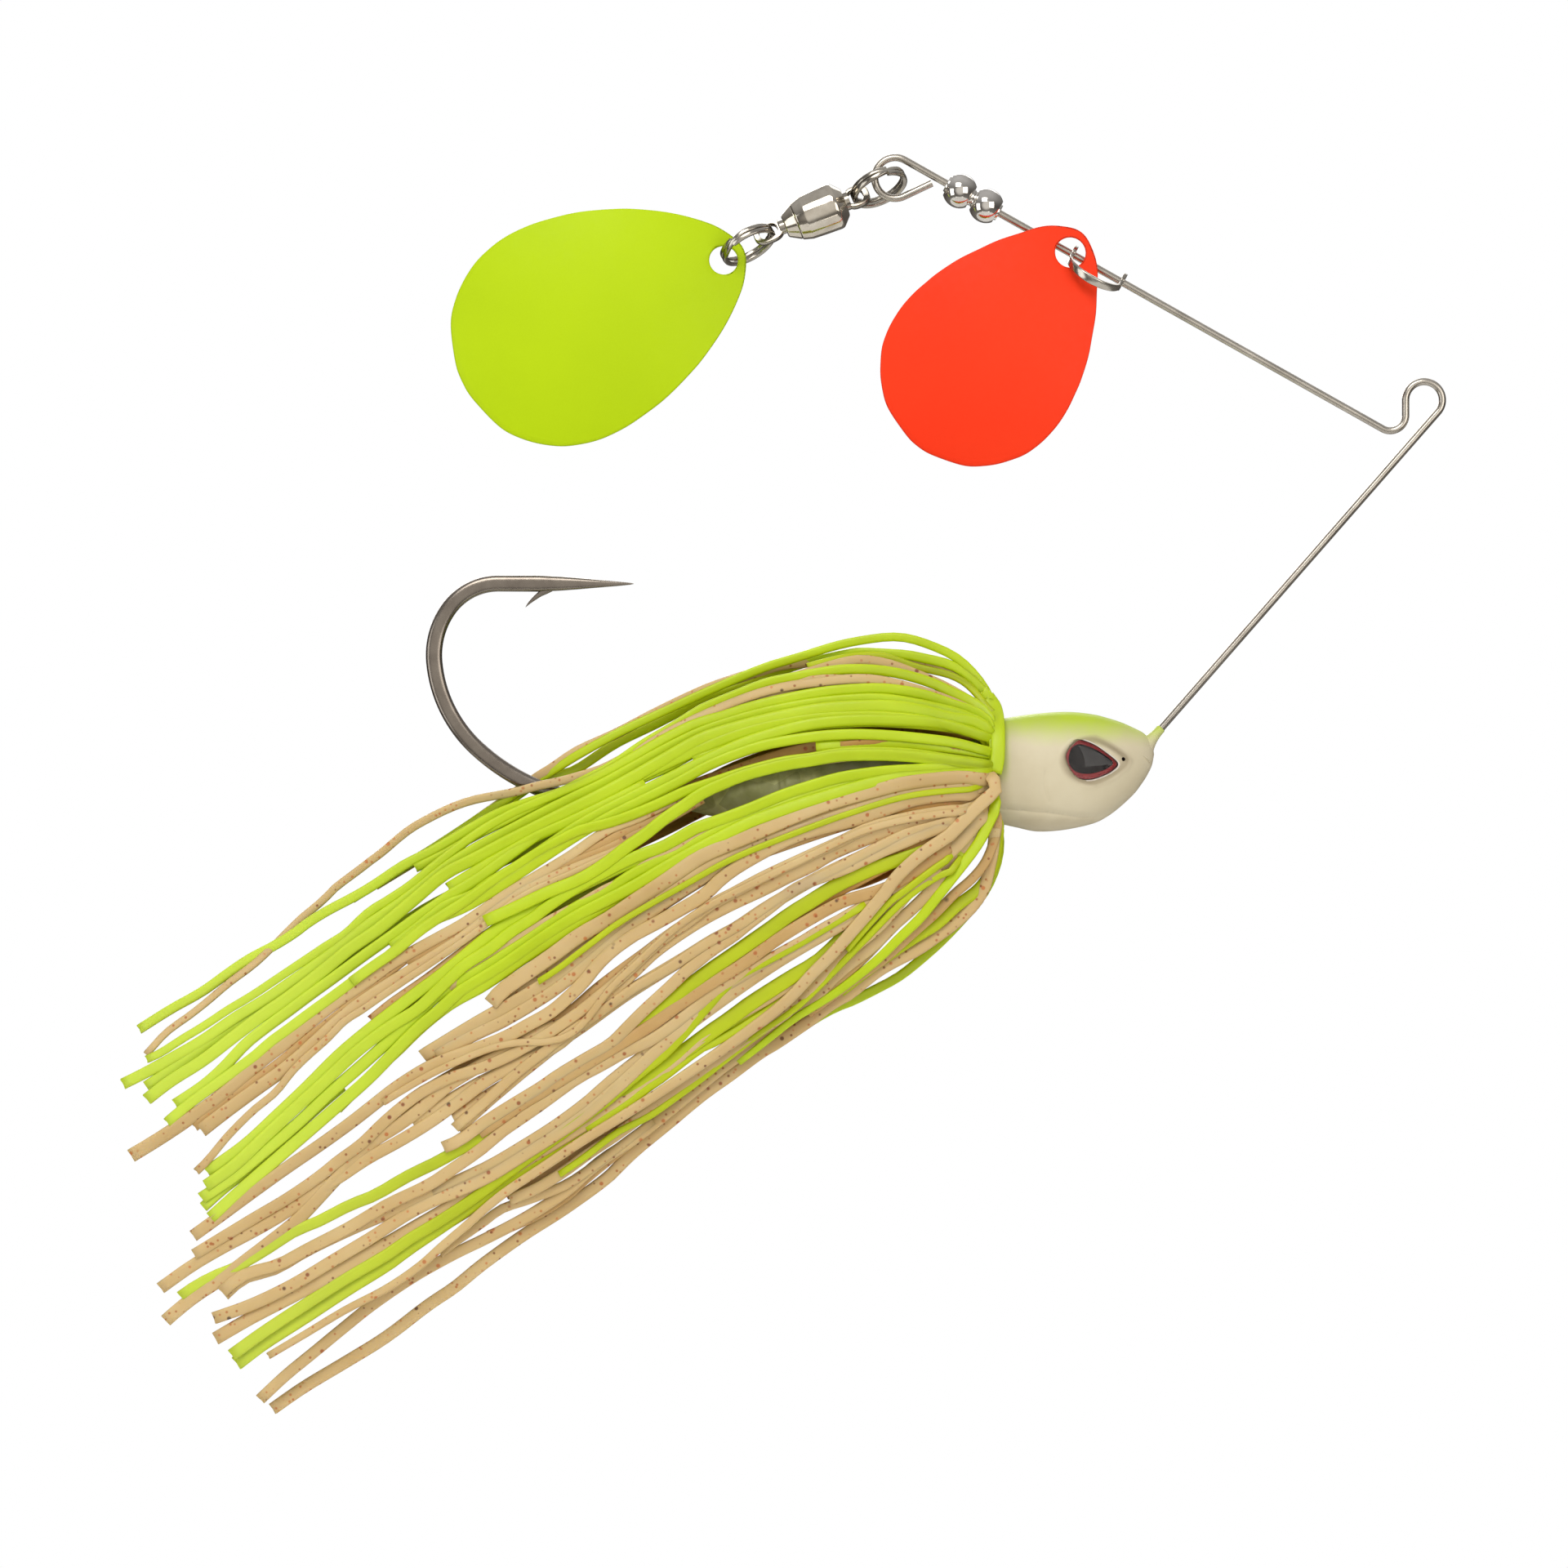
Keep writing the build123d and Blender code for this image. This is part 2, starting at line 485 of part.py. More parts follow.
rear_neck = turned([(-0.75, 0), (-0.75, 0.9), (2.32, 0.9), (2.32, 1.7), (2.95, 1.7), (3.15, 1.4), (3.15, 0)])
rear_stem = rear_neck.fuse(tab(-4.0, -0.25, 2.7, -3.3, -0.95, 1.72, -REAR_LEAN))
rear_stem = rear_stem.cut(put(turned([(-1, 0.0), (-1, 0.86), (1, 0.86), (1, 0)]), (-1.75, 0, 0), Vector(0, 1, 0).rotate(Axis.X, -REAR_LEAN), (1, 0, 0)))
save("swivel_rear_stem", place_swivel(rear_stem))
front_neck = turned([(4.9, 0), (4.9, 1.8), (5.1, 2.05), (5.88, 2.05), (5.88, 1.15), (8.5, 1.15), (8.5, 0)])
front_stem = front_neck.fuse(tab(8.0, 11.1, 2.8, 8.32, 10.3, 1.84, -FRONT_LEAN))
front_stem = front_stem.cut(put(turned([(-1, 0.0), (-1, 0.86), (1, 0.86), (1, 0)]), (9.2, 0, 0), Vector(0, 1, 0).rotate(Axis.X, -FRONT_LEAN), (1, 0, 0)))
save("swivel_front_stem", place_swivel(front_stem))
balls = [Solid.make_sphere(0.34, Plane(origin=(6.24, 1.66 * math.cos(k * math.tau / 12), 1.66 * math.sin(k * math.tau / 12)))) for k in range(12)]
save("swivel_bearing_balls", place_swivel(Compound(children=balls)))
washer = turned([(6.6, 1.25), (6.6, 2.12), (6.88, 2.12), (6.88, 1.25)])
save("swivel_thrust_washer", place_swivel(washer))

if __name__ == "__main__":
    print("eye", EYE, "knee", knee, "loop start", loop_start, "end", (w.x, w.z))
    print("keeper axis", KEEP, "spear", spear)
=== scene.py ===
import math
import random

import bpy
import numpy as np
from mathutils import Matrix, Vector


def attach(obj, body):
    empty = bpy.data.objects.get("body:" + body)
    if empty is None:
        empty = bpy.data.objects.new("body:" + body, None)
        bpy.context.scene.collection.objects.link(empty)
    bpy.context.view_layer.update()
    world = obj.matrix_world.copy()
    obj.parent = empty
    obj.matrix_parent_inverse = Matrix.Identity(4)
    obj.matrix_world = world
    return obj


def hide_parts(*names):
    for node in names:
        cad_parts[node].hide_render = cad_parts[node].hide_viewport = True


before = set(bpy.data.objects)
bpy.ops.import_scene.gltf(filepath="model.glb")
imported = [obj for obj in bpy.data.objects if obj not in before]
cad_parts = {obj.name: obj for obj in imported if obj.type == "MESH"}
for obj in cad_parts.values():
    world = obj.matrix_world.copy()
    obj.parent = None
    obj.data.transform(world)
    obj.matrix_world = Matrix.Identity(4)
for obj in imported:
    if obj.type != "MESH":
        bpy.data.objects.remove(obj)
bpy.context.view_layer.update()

MM = 0.001
scene = bpy.context.scene
scene.view_settings.view_transform = "Standard"
scene.view_settings.look = "None"


# ============================================================ camera and light
def look(px, pz):
    """Reading in the 1920-wide picture plane to X and Z in mm."""
    return (px - 1743.7) / 10.0, (489.8 - pz) / 10.0


cam_x, cam_z = look(960, 960)
DIST = 800.0
cam_data = bpy.data.cameras.new("camera")
cam_data.sensor_width = 36.0
cam_data.lens = 36.0 * DIST / 192.0
cam_data.clip_start, cam_data.clip_end = 0.02, 20
cam = bpy.data.objects.new("camera", cam_data)
cam.location = (cam_x * MM, -DIST * MM, cam_z * MM)
cam.rotation_euler = (math.pi / 2, 0, 0)
scene.collection.objects.link(cam)
scene.camera = cam

world = bpy.data.worlds.new("studio")
scene.world = world
world.use_nodes = True
wt = world.node_tree
wt.nodes.clear()
w_out = wt.nodes.new("ShaderNodeOutputWorld")
w_mix = wt.nodes.new("ShaderNodeMixShader")
w_path = wt.nodes.new("ShaderNodeLightPath")
w_white = wt.nodes.new("ShaderNodeBackground")
w_white.inputs["Color"].default_value = (1, 1, 1, 1)
w_white.inputs["Strength"].default_value = 1.0
w_room = wt.nodes.new("ShaderNodeBackground")
w_geo = wt.nodes.new("ShaderNodeTexCoord")
w_sep = wt.nodes.new("ShaderNodeSeparateXYZ")
w_ramp = wt.nodes.new("ShaderNodeValToRGB")
w_map = wt.nodes.new("ShaderNodeMapRange")
w_map.inputs["From Min"].default_value = -1
w_map.inputs["From Max"].default_value = 1
wt.links.new(w_geo.outputs["Generated"], w_sep.inputs[0])
wt.links.new(w_sep.outputs["Z"], w_map.inputs["Value"])
wt.links.new(w_map.outputs["Result"], w_ramp.inputs["Fac"])
cr = w_ramp.color_ramp
cr.elements[0].position, cr.elements[0].color = 0.0, (0.30, 0.29, 0.27, 1)
cr.elements[1].position, cr.elements[1].color = 1.0, (0.62, 0.62, 0.63, 1)
e = cr.elements.new(0.42); e.color = (0.10, 0.09, 0.085, 1)
e = cr.elements.new(0.58); e.color = (0.16, 0.155, 0.15, 1)
w_front = wt.nodes.new("ShaderNodeMapRange")
w_front.interpolation_type = "SMOOTHSTEP"
w_front.inputs["From Min"].default_value = -0.78
w_front.inputs["From Max"].default_value = -0.97
w_col = wt.nodes.new("ShaderNodeMixRGB")
wt.links.new(w_sep.outputs["Y"], w_front.inputs["Value"])
wt.links.new(w_front.outputs["Result"], w_col.inputs["Fac"])
wt.links.new(w_ramp.outputs["Color"], w_col.inputs["Color1"])
w_col.inputs["Color2"].default_value = (0.80, 0.775, 0.74, 1)
wt.links.new(w_col.outputs["Color"], w_room.inputs["Color"])
w_room.inputs["Strength"].default_value = 1.0
wt.links.new(w_path.outputs["Is Camera Ray"], w_mix.inputs["Fac"])
wt.links.new(w_room.outputs[0], w_mix.inputs[1])
wt.links.new(w_white.outputs[0], w_mix.inputs[2])
wt.links.new(w_mix.outputs[0], w_out.inputs["Surface"])


def area(name, loc, target, size, power, colour=(1, 1, 1), size_y=None):
    d = bpy.data.lights.new(name, "AREA")
    d.energy = power
    d.color = colour
    d.shape = "RECTANGLE" if size_y else "SQUARE"
    d.size = size
    if size_y:
        d.size_y = size_y
    o = bpy.data.objects.new(name, d)
    o.location = loc
    o.rotation_euler = (Vector(target) - Vector(loc)).to_track_quat("-Z", "Y").to_euler()
    scene.collection.objects.link(o)
    return o


mid = (-0.08, 0, -0.05)
area("key_softbox", (-0.25, -0.75, 0.62), mid, 0.55, 4.2, (1.0, 0.985, 0.965), 0.45)
area("fill_softbox", (0.45, -0.70, 0.05), mid, 0.5, 2.1, (1.0, 0.97, 0.93), 0.6)
area("left_softbox", (-0.75, -0.45, -0.1), mid, 0.4, 1.5, (0.97, 0.985, 1.0), 0.6)
area("back_strip", (0.05, 0.65, 0.45), mid, 0.5, 0.8, (1, 1, 1), 0.3)
area("rear_softbox", (-0.30, 0.80, 0.34), mid, 0.55, 3.4, (1.0, 0.985, 0.97), 0.5)
area("under_card", (-0.1, -0.35, -0.6), mid, 0.6, 1.9, (1.0, 0.98, 0.95), 0.4)


# =================================================================== materials
def srgb(r, g, b):
    def f(c):
        c /= 255.0
        return c / 12.92 if c <= 0.04045 else ((c + 0.055) / 1.055) ** 2.4
    return f(r), f(g), f(b), 1.0


class Mat:
    """A node material under construction."""

    def __init__(self, name):
        self.m = bpy.data.materials.new(name)
        self.m.use_nodes = True
        self.t = self.m.node_tree
        self.b = self.t.nodes["Principled BSDF"]
        self.tc = self.t.nodes.new("ShaderNodeTexCoord")

    def n(self, kind, **kw):
        node = self.t.nodes.new(kind)
        for k, v in kw.items():
            if k in ("operation", "blend_type", "data_type", "feature", "distance", "noise_dimensions", "interpolation_type", "wave_type", "bands_direction", "wave_profile"):
                setattr(node, k, v)
            else:
                node.inputs[k].default_value = v
        return node

    def link(self, a, b):
        self.t.links.new(a, b)

    def coords(self, scale=(1, 1, 1), rotation=(0, 0, 0)):
        mp = self.n("ShaderNodeMapping")
        mp.inputs["Scale"].default_value = scale
        mp.inputs["Rotation"].default_value = rotation
        self.link(self.tc.outputs["Object"], mp.inputs["Vector"])
        return mp.outputs["Vector"]

    def noise(self, vec, scale, detail=3.0, rough=0.55):
        nd = self.n("ShaderNodeTexNoise", Scale=scale, Detail=detail, Roughness=rough)
        self.link(vec, nd.inputs["Vector"])
        return nd.outputs["Fac"]

    def ramp(self, fac, stops):
        r = self.n("ShaderNodeValToRGB")
        c = r.color_ramp
        c.elements[0].position, c.elements[0].color = stops[0]
        c.elements[1].position, c.elements[1].color = stops[-1]
        for pos, col in stops[1:-1]:
            el = c.elements.new(pos)
            el.color = col
        self.link(fac, r.inputs["Fac"])
        return r.outputs["Color"]

    def math(self, op, a, b=None, c=None):
        nd = self.n("ShaderNodeMath", operation=op)
        for i, v in enumerate((a, b, c)):
            if v is None:
                continue
            if isinstance(v, (int, float)):
                nd.inputs[i].default_value = v
            else:
                self.link(v, nd.inputs[i])
        return nd.outputs[0]

    def span(self, val, a, b, lo=0.0, hi=1.0, smooth=False):
        nd = self.n("ShaderNodeMapRange")
        if smooth:
            nd.interpolation_type = "SMOOTHSTEP"
        nd.inputs["From Min"].default_value = a
        nd.inputs["From Max"].default_value = b
        nd.inputs["To Min"].default_value = lo
        nd.inputs["To Max"].default_value = hi
        self.link(val, nd.inputs["Value"])
        return nd.outputs["Result"]

    def mix(self, fac, a, b, kind="MIX"):
        nd = self.n("ShaderNodeMix")
        nd.data_type = "RGBA"
        nd.blend_type = kind
        for sock, v in ((nd.inputs[0], fac), (nd.inputs[6], a), (nd.inputs[7], b)):
            if isinstance(v, (int, float)):
                sock.default_value = v
            elif isinstance(v, tuple):
                sock.default_value = v
            else:
                self.link(v, sock)
        return nd.outputs[2]

    def bump(self, height, strength, dist):
        nd = self.n("ShaderNodeBump", Strength=strength, Distance=dist)
        self.link(height, nd.inputs["Height"])
        self.link(nd.outputs["Normal"], self.b.inputs["Normal"])
        return nd

    def set(self, **kw):
        for k, v in kw.items():
            s = self.b.inputs[k.replace("_", " ")]
            if isinstance(v, (int, float, tuple)):
                s.default_value = v
            else:
                self.link(v, s)
        return self


def metal(name, dark, light, rough_lo, rough_hi, scale=900.0, stretch=(1, 1, 1), bump=0.15, spec_noise=2500.0):
    m = Mat(name)
    v = m.coords(stretch)
    n1 = m.noise(v, scale, 5.0, 0.6)
    n2 = m.noise(m.coords(), spec_noise, 2.0, 0.5)
    m.set(Base_Color=m.ramp(n1, [(0.25, dark), (0.75, light)]), Metallic=1.0)
    m.set(Roughness=m.span(n1, 0.25, 0.8, rough_lo, rough_hi))
    h = m.math("ADD", m.math("MULTIPLY", n1, 0.7), m.math("MULTIPLY", n2, 0.3))
    m.bump(h, bump, 0.00002)
    return m.m


M = {}
M["wire"] = metal("drawn_spring_wire", srgb(172, 165, 154), srgb(200, 193, 181), 0.22, 0.32, 260.0, (1, 1, 1), 0.03)
M["nickel"] = metal("polished_nickel", srgb(186, 176, 160), srgb(226, 219, 205), 0.07, 0.17, 420.0, (1, 1, 1), 0.07)
M["stem"] = metal("nickel_stem", srgb(128, 121, 110), srgb(190, 183, 170), 0.16, 0.28, 360.0, (1, 1, 1), 0.06)
M["ring"] = metal("split_ring_steel", srgb(134, 127, 116), srgb(200, 193, 180), 0.14, 0.26, 360.0, (1, 1, 1), 0.05)
M["clevis"] = metal("folded_strip_steel", srgb(150, 143, 132), srgb(206, 200, 188), 0.14, 0.26, 360.0, (1, 1, 1), 0.05)
M["bead"] = metal("polished_bead", srgb(196, 190, 182), srgb(232, 228, 221), 0.05, 0.13, 380.0, (1, 1, 1), 0.05)

# black-nickel hook: warm grey with a random tone, faint forging marks
m = Mat("black_nickel_hook")
v = m.coords()
n1 = m.noise(v, 420.0, 5.0, 0.6)
n2 = m.noise(m.coords((1, 6, 1)), 1300.0, 3.0, 0.6)
m.set(Base_Color=m.ramp(n1, [(0.2, srgb(122, 113, 104)), (0.8, srgb(150, 141, 130))]), Metallic=1.0)
m.set(Roughness=m.span(n2, 0.2, 0.8, 0.20, 0.32))
m.bump(m.math("ADD", m.math("MULTIPLY", n1, 0.6), m.math("MULTIPLY", n2, 0.4)), 0.08, 0.00003)
M["hook"] = m.m


def paint(name, base, deep, rough=0.52, coat=0.06):
    """Sprayed blade paint: slight pooling and orange-peel."""
    m = Mat(name)
    v = m.coords()
    n1 = m.noise(v, 55.0, 3.0, 0.5)
    n2 = m.noise(v, 1400.0, 2.0, 0.5)
    n3 = m.noise(v, 6500.0, 2.0, 0.5)
    col = m.ramp(n1, [(0.3, deep), (0.7, base)])
    col = m.mix(m.span(n3, 0.35, 0.75, 0.0, 0.12), col, tuple(min(1.0, c * 1.15 + 0.01) for c in base[:3]) + (1.0,))
    m.set(Base_Color=col)
    m.set(Roughness=m.span(n2, 0.3, 0.7, rough - 0.06, rough + 0.08))
    m.set(Coat_Weight=coat, Coat_Roughness=0.3, Specular_IOR_Level=0.16)
    m.bump(m.math("ADD", m.math("MULTIPLY", n2, 0.75), m.math("MULTIPLY", n3, 0.25)), 0.18, 0.00003)
    return m.m


M["orange"] = paint("orange_blade_paint", srgb(255, 60, 18), srgb(252, 54, 14))
M["lime"] = paint("chartreuse_blade_paint", srgb(190, 220, 0), srgb(183, 213, 0))

# head: bone enamel, chartreuse sprayed along the back, painted shade in the creases and round the eye socket
HEAD_MAT = Mat("head_enamel")


def head_material():
    m = HEAD_MAT
    sep = m.n("ShaderNodeSeparateXYZ")
    m.link(m.tc.outputs["Object"], sep.inputs[0])
    v = m.coords()
    n1 = m.noise(v, 160.0, 4.0, 0.6)
    n2 = m.noise(v, 2600.0, 2.0, 0.5)
    wob = m.math("MULTIPLY", m.math("SUBTRACT", n1, 0.5), 0.0022)
    z = m.math("ADD", sep.outputs["Z"], wob)
    # the spray sits a little higher toward the nose
    fade = m.math("ADD", z, m.math("MULTIPLY", m.math("ADD", sep.outputs["X"], 0.043), 0.02))
    top = m.span(fade, -0.0428, -0.0386, 0.0, 1.0, True)
    bone = m.ramp(n1, [(0.25, srgb(210, 198, 166)), (0.75, srgb(219, 209, 180))])
    lime = m.ramp(n1, [(0.25, srgb(176, 200, 28)), (0.75, srgb(192, 215, 52))])
    col = m.mix(top, bone, lime)
    # lime at the rear upper edge where the skirt seats, partly overspray and partly a painted reflection of the lime
    # strands; and painted shade on the belly's underside
    seat_lime_and_reflection = m.math("MULTIPLY", m.span(sep.outputs["X"], -0.0505, -0.0520, 0.0, 0.75, True), m.span(z, -0.0475, -0.0445, 0.0, 1.0, True))
    col = m.mix(seat_lime_and_reflection, col, lime)
    # painted shade: the underside is darkened toward brown
    belly_painted_shade = m.span(z, -0.0508, -0.0518, 0.0, 0.30, True)
    col = m.mix(belly_painted_shade, col, srgb(176, 160, 126))
    # painted shade round the eye socket's edge
    ux = m.math("DIVIDE", m.math("SUBTRACT", sep.outputs["X"], -0.04035), 0.0041)
    uz = m.math("DIVIDE", m.math("SUBTRACT", sep.outputs["Z"], -0.0442), 0.0029)
    uz = m.math("DIVIDE", uz, m.math("SUBTRACT", 1.0, m.math("MULTIPLY", m.math("MAXIMUM", ux, 0.0), 0.45)))
    rr = m.math("SQRT", m.math("ADD", m.math("MULTIPLY", ux, ux), m.math("MULTIPLY", uz, uz)))
    socket_shade = m.math("MULTIPLY", m.span(rr, 0.60, 0.86, 0.0, 1.0, True), m.span(rr, 0.94, 1.16, 1.0, 0.0, True))
    col = m.mix(m.math("MULTIPLY", socket_shade, 0.62), col, srgb(150, 134, 106))
    # painted shade darkening the creases, driven by pointiness
    geo = m.n("ShaderNodeNewGeometry")
    crease_shade = m.span(geo.outputs["Pointiness"], 0.40, 0.492, 0.55, 0.0)
    col = m.mix(crease_shade, col, srgb(128, 116, 94))
    m.set(Base_Color=col, Coat_Weight=0.10, Coat_Roughness=0.3, Specular_IOR_Level=0.22)
    m.set(Roughness=m.span(n2, 0.3, 0.7, 0.42, 0.54))
    m.bump(m.math("ADD", m.math("MULTIPLY", n1, 0.6), m.math("MULTIPLY", n2, 0.4)), 0.12, 0.00004)
    return m.m


M["head"] = head_material()

# bare cast lead with the enamel thinning out toward the tail; its olive-green tint is a painted reflection of the
# chartreuse strands, and its raised brightness is painted light for a tail that sits in the strands' shade
m = Mat("cast_lead")
v = m.coords()
sep = m.n("ShaderNodeSeparateXYZ")
m.link(m.tc.outputs["Object"], sep.inputs[0])
n1 = m.noise(v, 240.0, 6.0, 0.65)
n2 = m.noise(v, 1500.0, 4.0, 0.6)
vor = m.n("ShaderNodeTexVoronoi", Scale=900.0)
m.link(v, vor.inputs["Vector"])
lead = m.ramp(n1, [(0.2, srgb(152, 152, 100)), (0.5, srgb(208, 208, 142)), (0.82, srgb(240, 240, 200))])
cells = m.n("ShaderNodeTexVoronoi", Scale=300.0)
m.link(v, cells.inputs["Vector"])
cell_rgb = m.n("ShaderNodeSeparateColor")
m.link(cells.outputs["Color"], cell_rgb.inputs[0])
lead = m.mix(m.span(cell_rgb.outputs[0], 0.0, 1.0, 0.0, 0.6), lead, srgb(134, 136, 84))
lead = m.mix(m.span(cells.outputs["Distance"], 0.0, 0.08, 0.0, 0.0), lead, srgb(60, 62, 50))
paint_in = m.span(m.math("ADD", sep.outputs["X"], m.math("MULTIPLY", m.math("SUBTRACT", n1, 0.5), 0.006)), -0.0745, -0.0700, 0.0, 1.0, True)
m.set(Base_Color=m.mix(paint_in, lead, srgb(206, 204, 168)), Metallic=m.span(paint_in, 0.0, 1.0, 0.22, 0.0))
m.set(Roughness=m.span(n2, 0.25, 0.75, 0.34, 0.58))
m.bump(m.math("ADD", m.math("MULTIPLY", n2, 0.6), m.math("MULTIPLY", vor.outputs["Distance"], 0.4)), 0.45, 0.00008)
M["lead"] = m.m

m = Mat("band_rubber")
v = m.coords()
n1 = m.noise(v, 1500.0, 4.0, 0.6)
m.set(Base_Color=m.ramp(n1, [(0.3, srgb(30, 30, 29)), (0.8, srgb(58, 57, 54))]), Roughness=m.span(n1, 0.2, 0.8, 0.6, 0.85))
m.bump(n1, 0.4, 0.00005)
M["band"] = m.m


def silicone(name, stops, speck, rough=0.36, sss=0.30, seed=0.0):
    m = Mat(name)
    v = m.coords()
    shift = m.n("ShaderNodeMapping")
    shift.inputs["Location"].default_value = (seed, seed * 0.7, -seed)
    m.link(m.tc.outputs["Object"], shift.inputs["Vector"])
    sv = shift.outputs["Vector"]
    n1 = m.noise(sv, 110.0, 3.0, 0.55)
    n2 = m.noise(sv, 2200.0, 3.0, 0.55)
    col = m.ramp(n1, stops)
    if not speck:
        # painted light: lighter toward the tips, standing in for light passing through the thin strand ends
        sx = m.n("ShaderNodeSeparateXYZ")
        m.link(m.tc.outputs["Object"], sx.inputs[0])
        col = m.mix(m.span(sx.outputs["X"], -0.108, -0.148, 0.0, 0.45, True), col, srgb(216, 236, 96))
    if speck:
        # pigment flakes: one random cell in three carries one, brown to red, a few black
        for scale, size, chance, stops2 in (
            (620.0, 0.20, 0.36, [(0.0, srgb(200, 116, 56)), (0.55, srgb(168, 84, 36)), (0.85, srgb(128, 50, 26)), (1.0, srgb(60, 34, 26))]),
            (1150.0, 0.24, 0.26, [(0.0, srgb(206, 134, 76)), (0.6, srgb(172, 98, 48)), (1.0, srgb(116, 62, 36))]),
            (150.0, 0.070, 0.62, [(0.0, srgb(58, 30, 24)), (1.0, srgb(24, 18, 16))]),
        ):
            vor = m.n("ShaderNodeTexVoronoi", Scale=scale)
            m.link(sv, vor.inputs["Vector"])
            inside = m.span(vor.outputs["Distance"], size, size * 0.55, 0.0, 1.0)
            sepc = m.n("ShaderNodeSeparateColor")
            m.link(vor.outputs["Color"], sepc.inputs[0])
            pick = m.math("GREATER_THAN", sepc.outputs[0], chance)
            fac = m.math("MULTIPLY", m.math("MULTIPLY", inside, pick), 0.85)
            col = m.mix(fac, col, m.ramp(sepc.outputs[1], stops2))
    m.set(Base_Color=col, Roughness=m.span(n2, 0.3, 0.7, rough - 0.06, rough + 0.10))
    m.set(Subsurface_Weight=sss, Subsurface_Scale=0.0007, Subsurface_Radius=(1.0, 0.8, 0.25), Specular_IOR_Level=0.42)
    m.bump(n2, 0.10, 0.00003)
    return m.m


M["sk_lime"] = silicone("chartreuse_silicone", [(0.25, srgb(182, 204, 0)), (0.75, srgb(197, 220, 24))], False, 0.40, 0.35)
# shaded copies of the silicone: painted shade for strands lying under or behind others
M["sk_lime_deep"] = silicone("chartreuse_silicone_shaded", [(0.25, srgb(176, 190, 0)), (0.75, srgb(192, 207, 4))], False, 0.42, 0.30, 0.3)
M["sk_sand"] = silicone("sand_silicone_flaked", [(0.2, srgb(201, 168, 110)), (0.8, srgb(217, 190, 136))], True, 0.46, 0.25, 0.11)
M["sk_sand_deep"] = silicone("sand_silicone_flaked_shaded", [(0.2, srgb(190, 150, 88)), (0.8, srgb(207, 172, 113))], True, 0.46, 0.25, 0.53)
M["sk_sand_inner"] = silicone("sand_silicone_flaked_deep_shade", [(0.2, srgb(176, 128, 52)), (0.8, srgb(194, 152, 84))], True, 0.50, 0.25, 0.77)


# ============================================================= mesh primitives
def add_mesh(name, verts, faces, mats, mat_index=None, smooth=True, body="frame", node=None, sharp=None):
    """verts in mm."""
    me = bpy.data.meshes.new(name)
    me.from_pydata([tuple(float(c) * MM for c in v) for v in verts], [], [tuple(int(i) for i in f) for f in faces])
    for mt in mats:
        me.materials.append(mt)
    if mat_index is not None:
        me.polygons.foreach_set("material_index", np.asarray(mat_index, np.int32))
    me.validate()
    me.update()
    if smooth:
        me.polygons.foreach_set("use_smooth", np.ones(len(me.polygons), bool))
    o = bpy.data.objects.new(name, me)
    scene.collection.objects.link(o)
    if sharp is not None:
        me.set_sharp_from_angle(angle=math.radians(sharp))
    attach(o, body)
    if node:
        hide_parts(*([node] if isinstance(node, str) else node))
    return o


def recalc(o):
    import bmesh
    bm = bmesh.new()
    bm.from_mesh(o.data)
    bmesh.ops.recalc_face_normals(bm, faces=bm.faces)
    bm.to_mesh(o.data)
    bm.free()
    return o


def grid_faces(rows, cols, closed_cols=True, closed_rows=False, base=0):
    f = []
    for i in range(rows if closed_rows else rows - 1):
        i2 = (i + 1) % rows
        for j in range(cols if closed_cols else cols - 1):
            j2 = (j + 1) % cols
            f.append((base + i * cols + j, base + i * cols + j2, base + i2 * cols + j2, base + i2 * cols + j))
    return f


def frames_along(P, up=None):
    """Tangents and two normals along a path, without twist."""
    P = np.asarray(P, float)
    T = np.gradient(P, axis=0)
    T /= np.linalg.norm(T, axis=1)[:, None] + 1e-12
    n = np.array(up if up is not None else (0.0, 1.0, 0.0), float)
    N = []
    for t in T:
        n = n - t * np.dot(n, t)
        n /= np.linalg.norm(n) + 1e-12
        N.append(n)
    N = np.array(N)
    B = np.cross(T, N)
    return T, N, B


def sweep(P, section, up=None, scale=None, closed=False, cap=True):
    """section: (k, 2) points as (along N, along B).  scale: per-station (sn, sb)."""
    P = np.asarray(P, float)
    T, N, B = frames_along(P, up)
    k = len(section[0]) if np.ndim(section) == 3 else len(section)
    verts = []
    for i, p in enumerate(P):
        sec = section[i] if np.ndim(section) == 3 else section
        sn, sb = (1, 1) if scale is None else scale[i]
        for a, b in sec:
            verts.append(p + N[i] * a * sn + B[i] * b * sb)
    faces = grid_faces(len(P), k, True, closed)
    if cap and not closed:
        c0, c1 = len(verts), len(verts) + 1
        verts.append(P[0]); verts.append(P[-1])
        for j in range(k):
            j2 = (j + 1) % k
            faces.append((c0, j2, j))
            base = (len(P) - 1) * k
            faces.append((c1, base + j, base + j2))
    return verts, faces


def circle(r, n=24, r2=None):
    r2 = r if r2 is None else r2
    return [(r * math.cos(2 * math.pi * i / n), r2 * math.sin(2 * math.pi * i / n)) for i in range(n)]


def rounded_rect(w, h, r, n=4):
    pts = []
    for cx, cy, a0 in ((w / 2 - r, h / 2 - r, 0), (-w / 2 + r, h / 2 - r, 90), (-w / 2 + r, -h / 2 + r, 180), (w / 2 - r, -h / 2 + r, 270)):
        for k in range(n + 1):
            a = math.radians(a0 + 90 * k / n)
            pts.append((cx + r * math.cos(a), cy + r * math.sin(a)))
    return pts


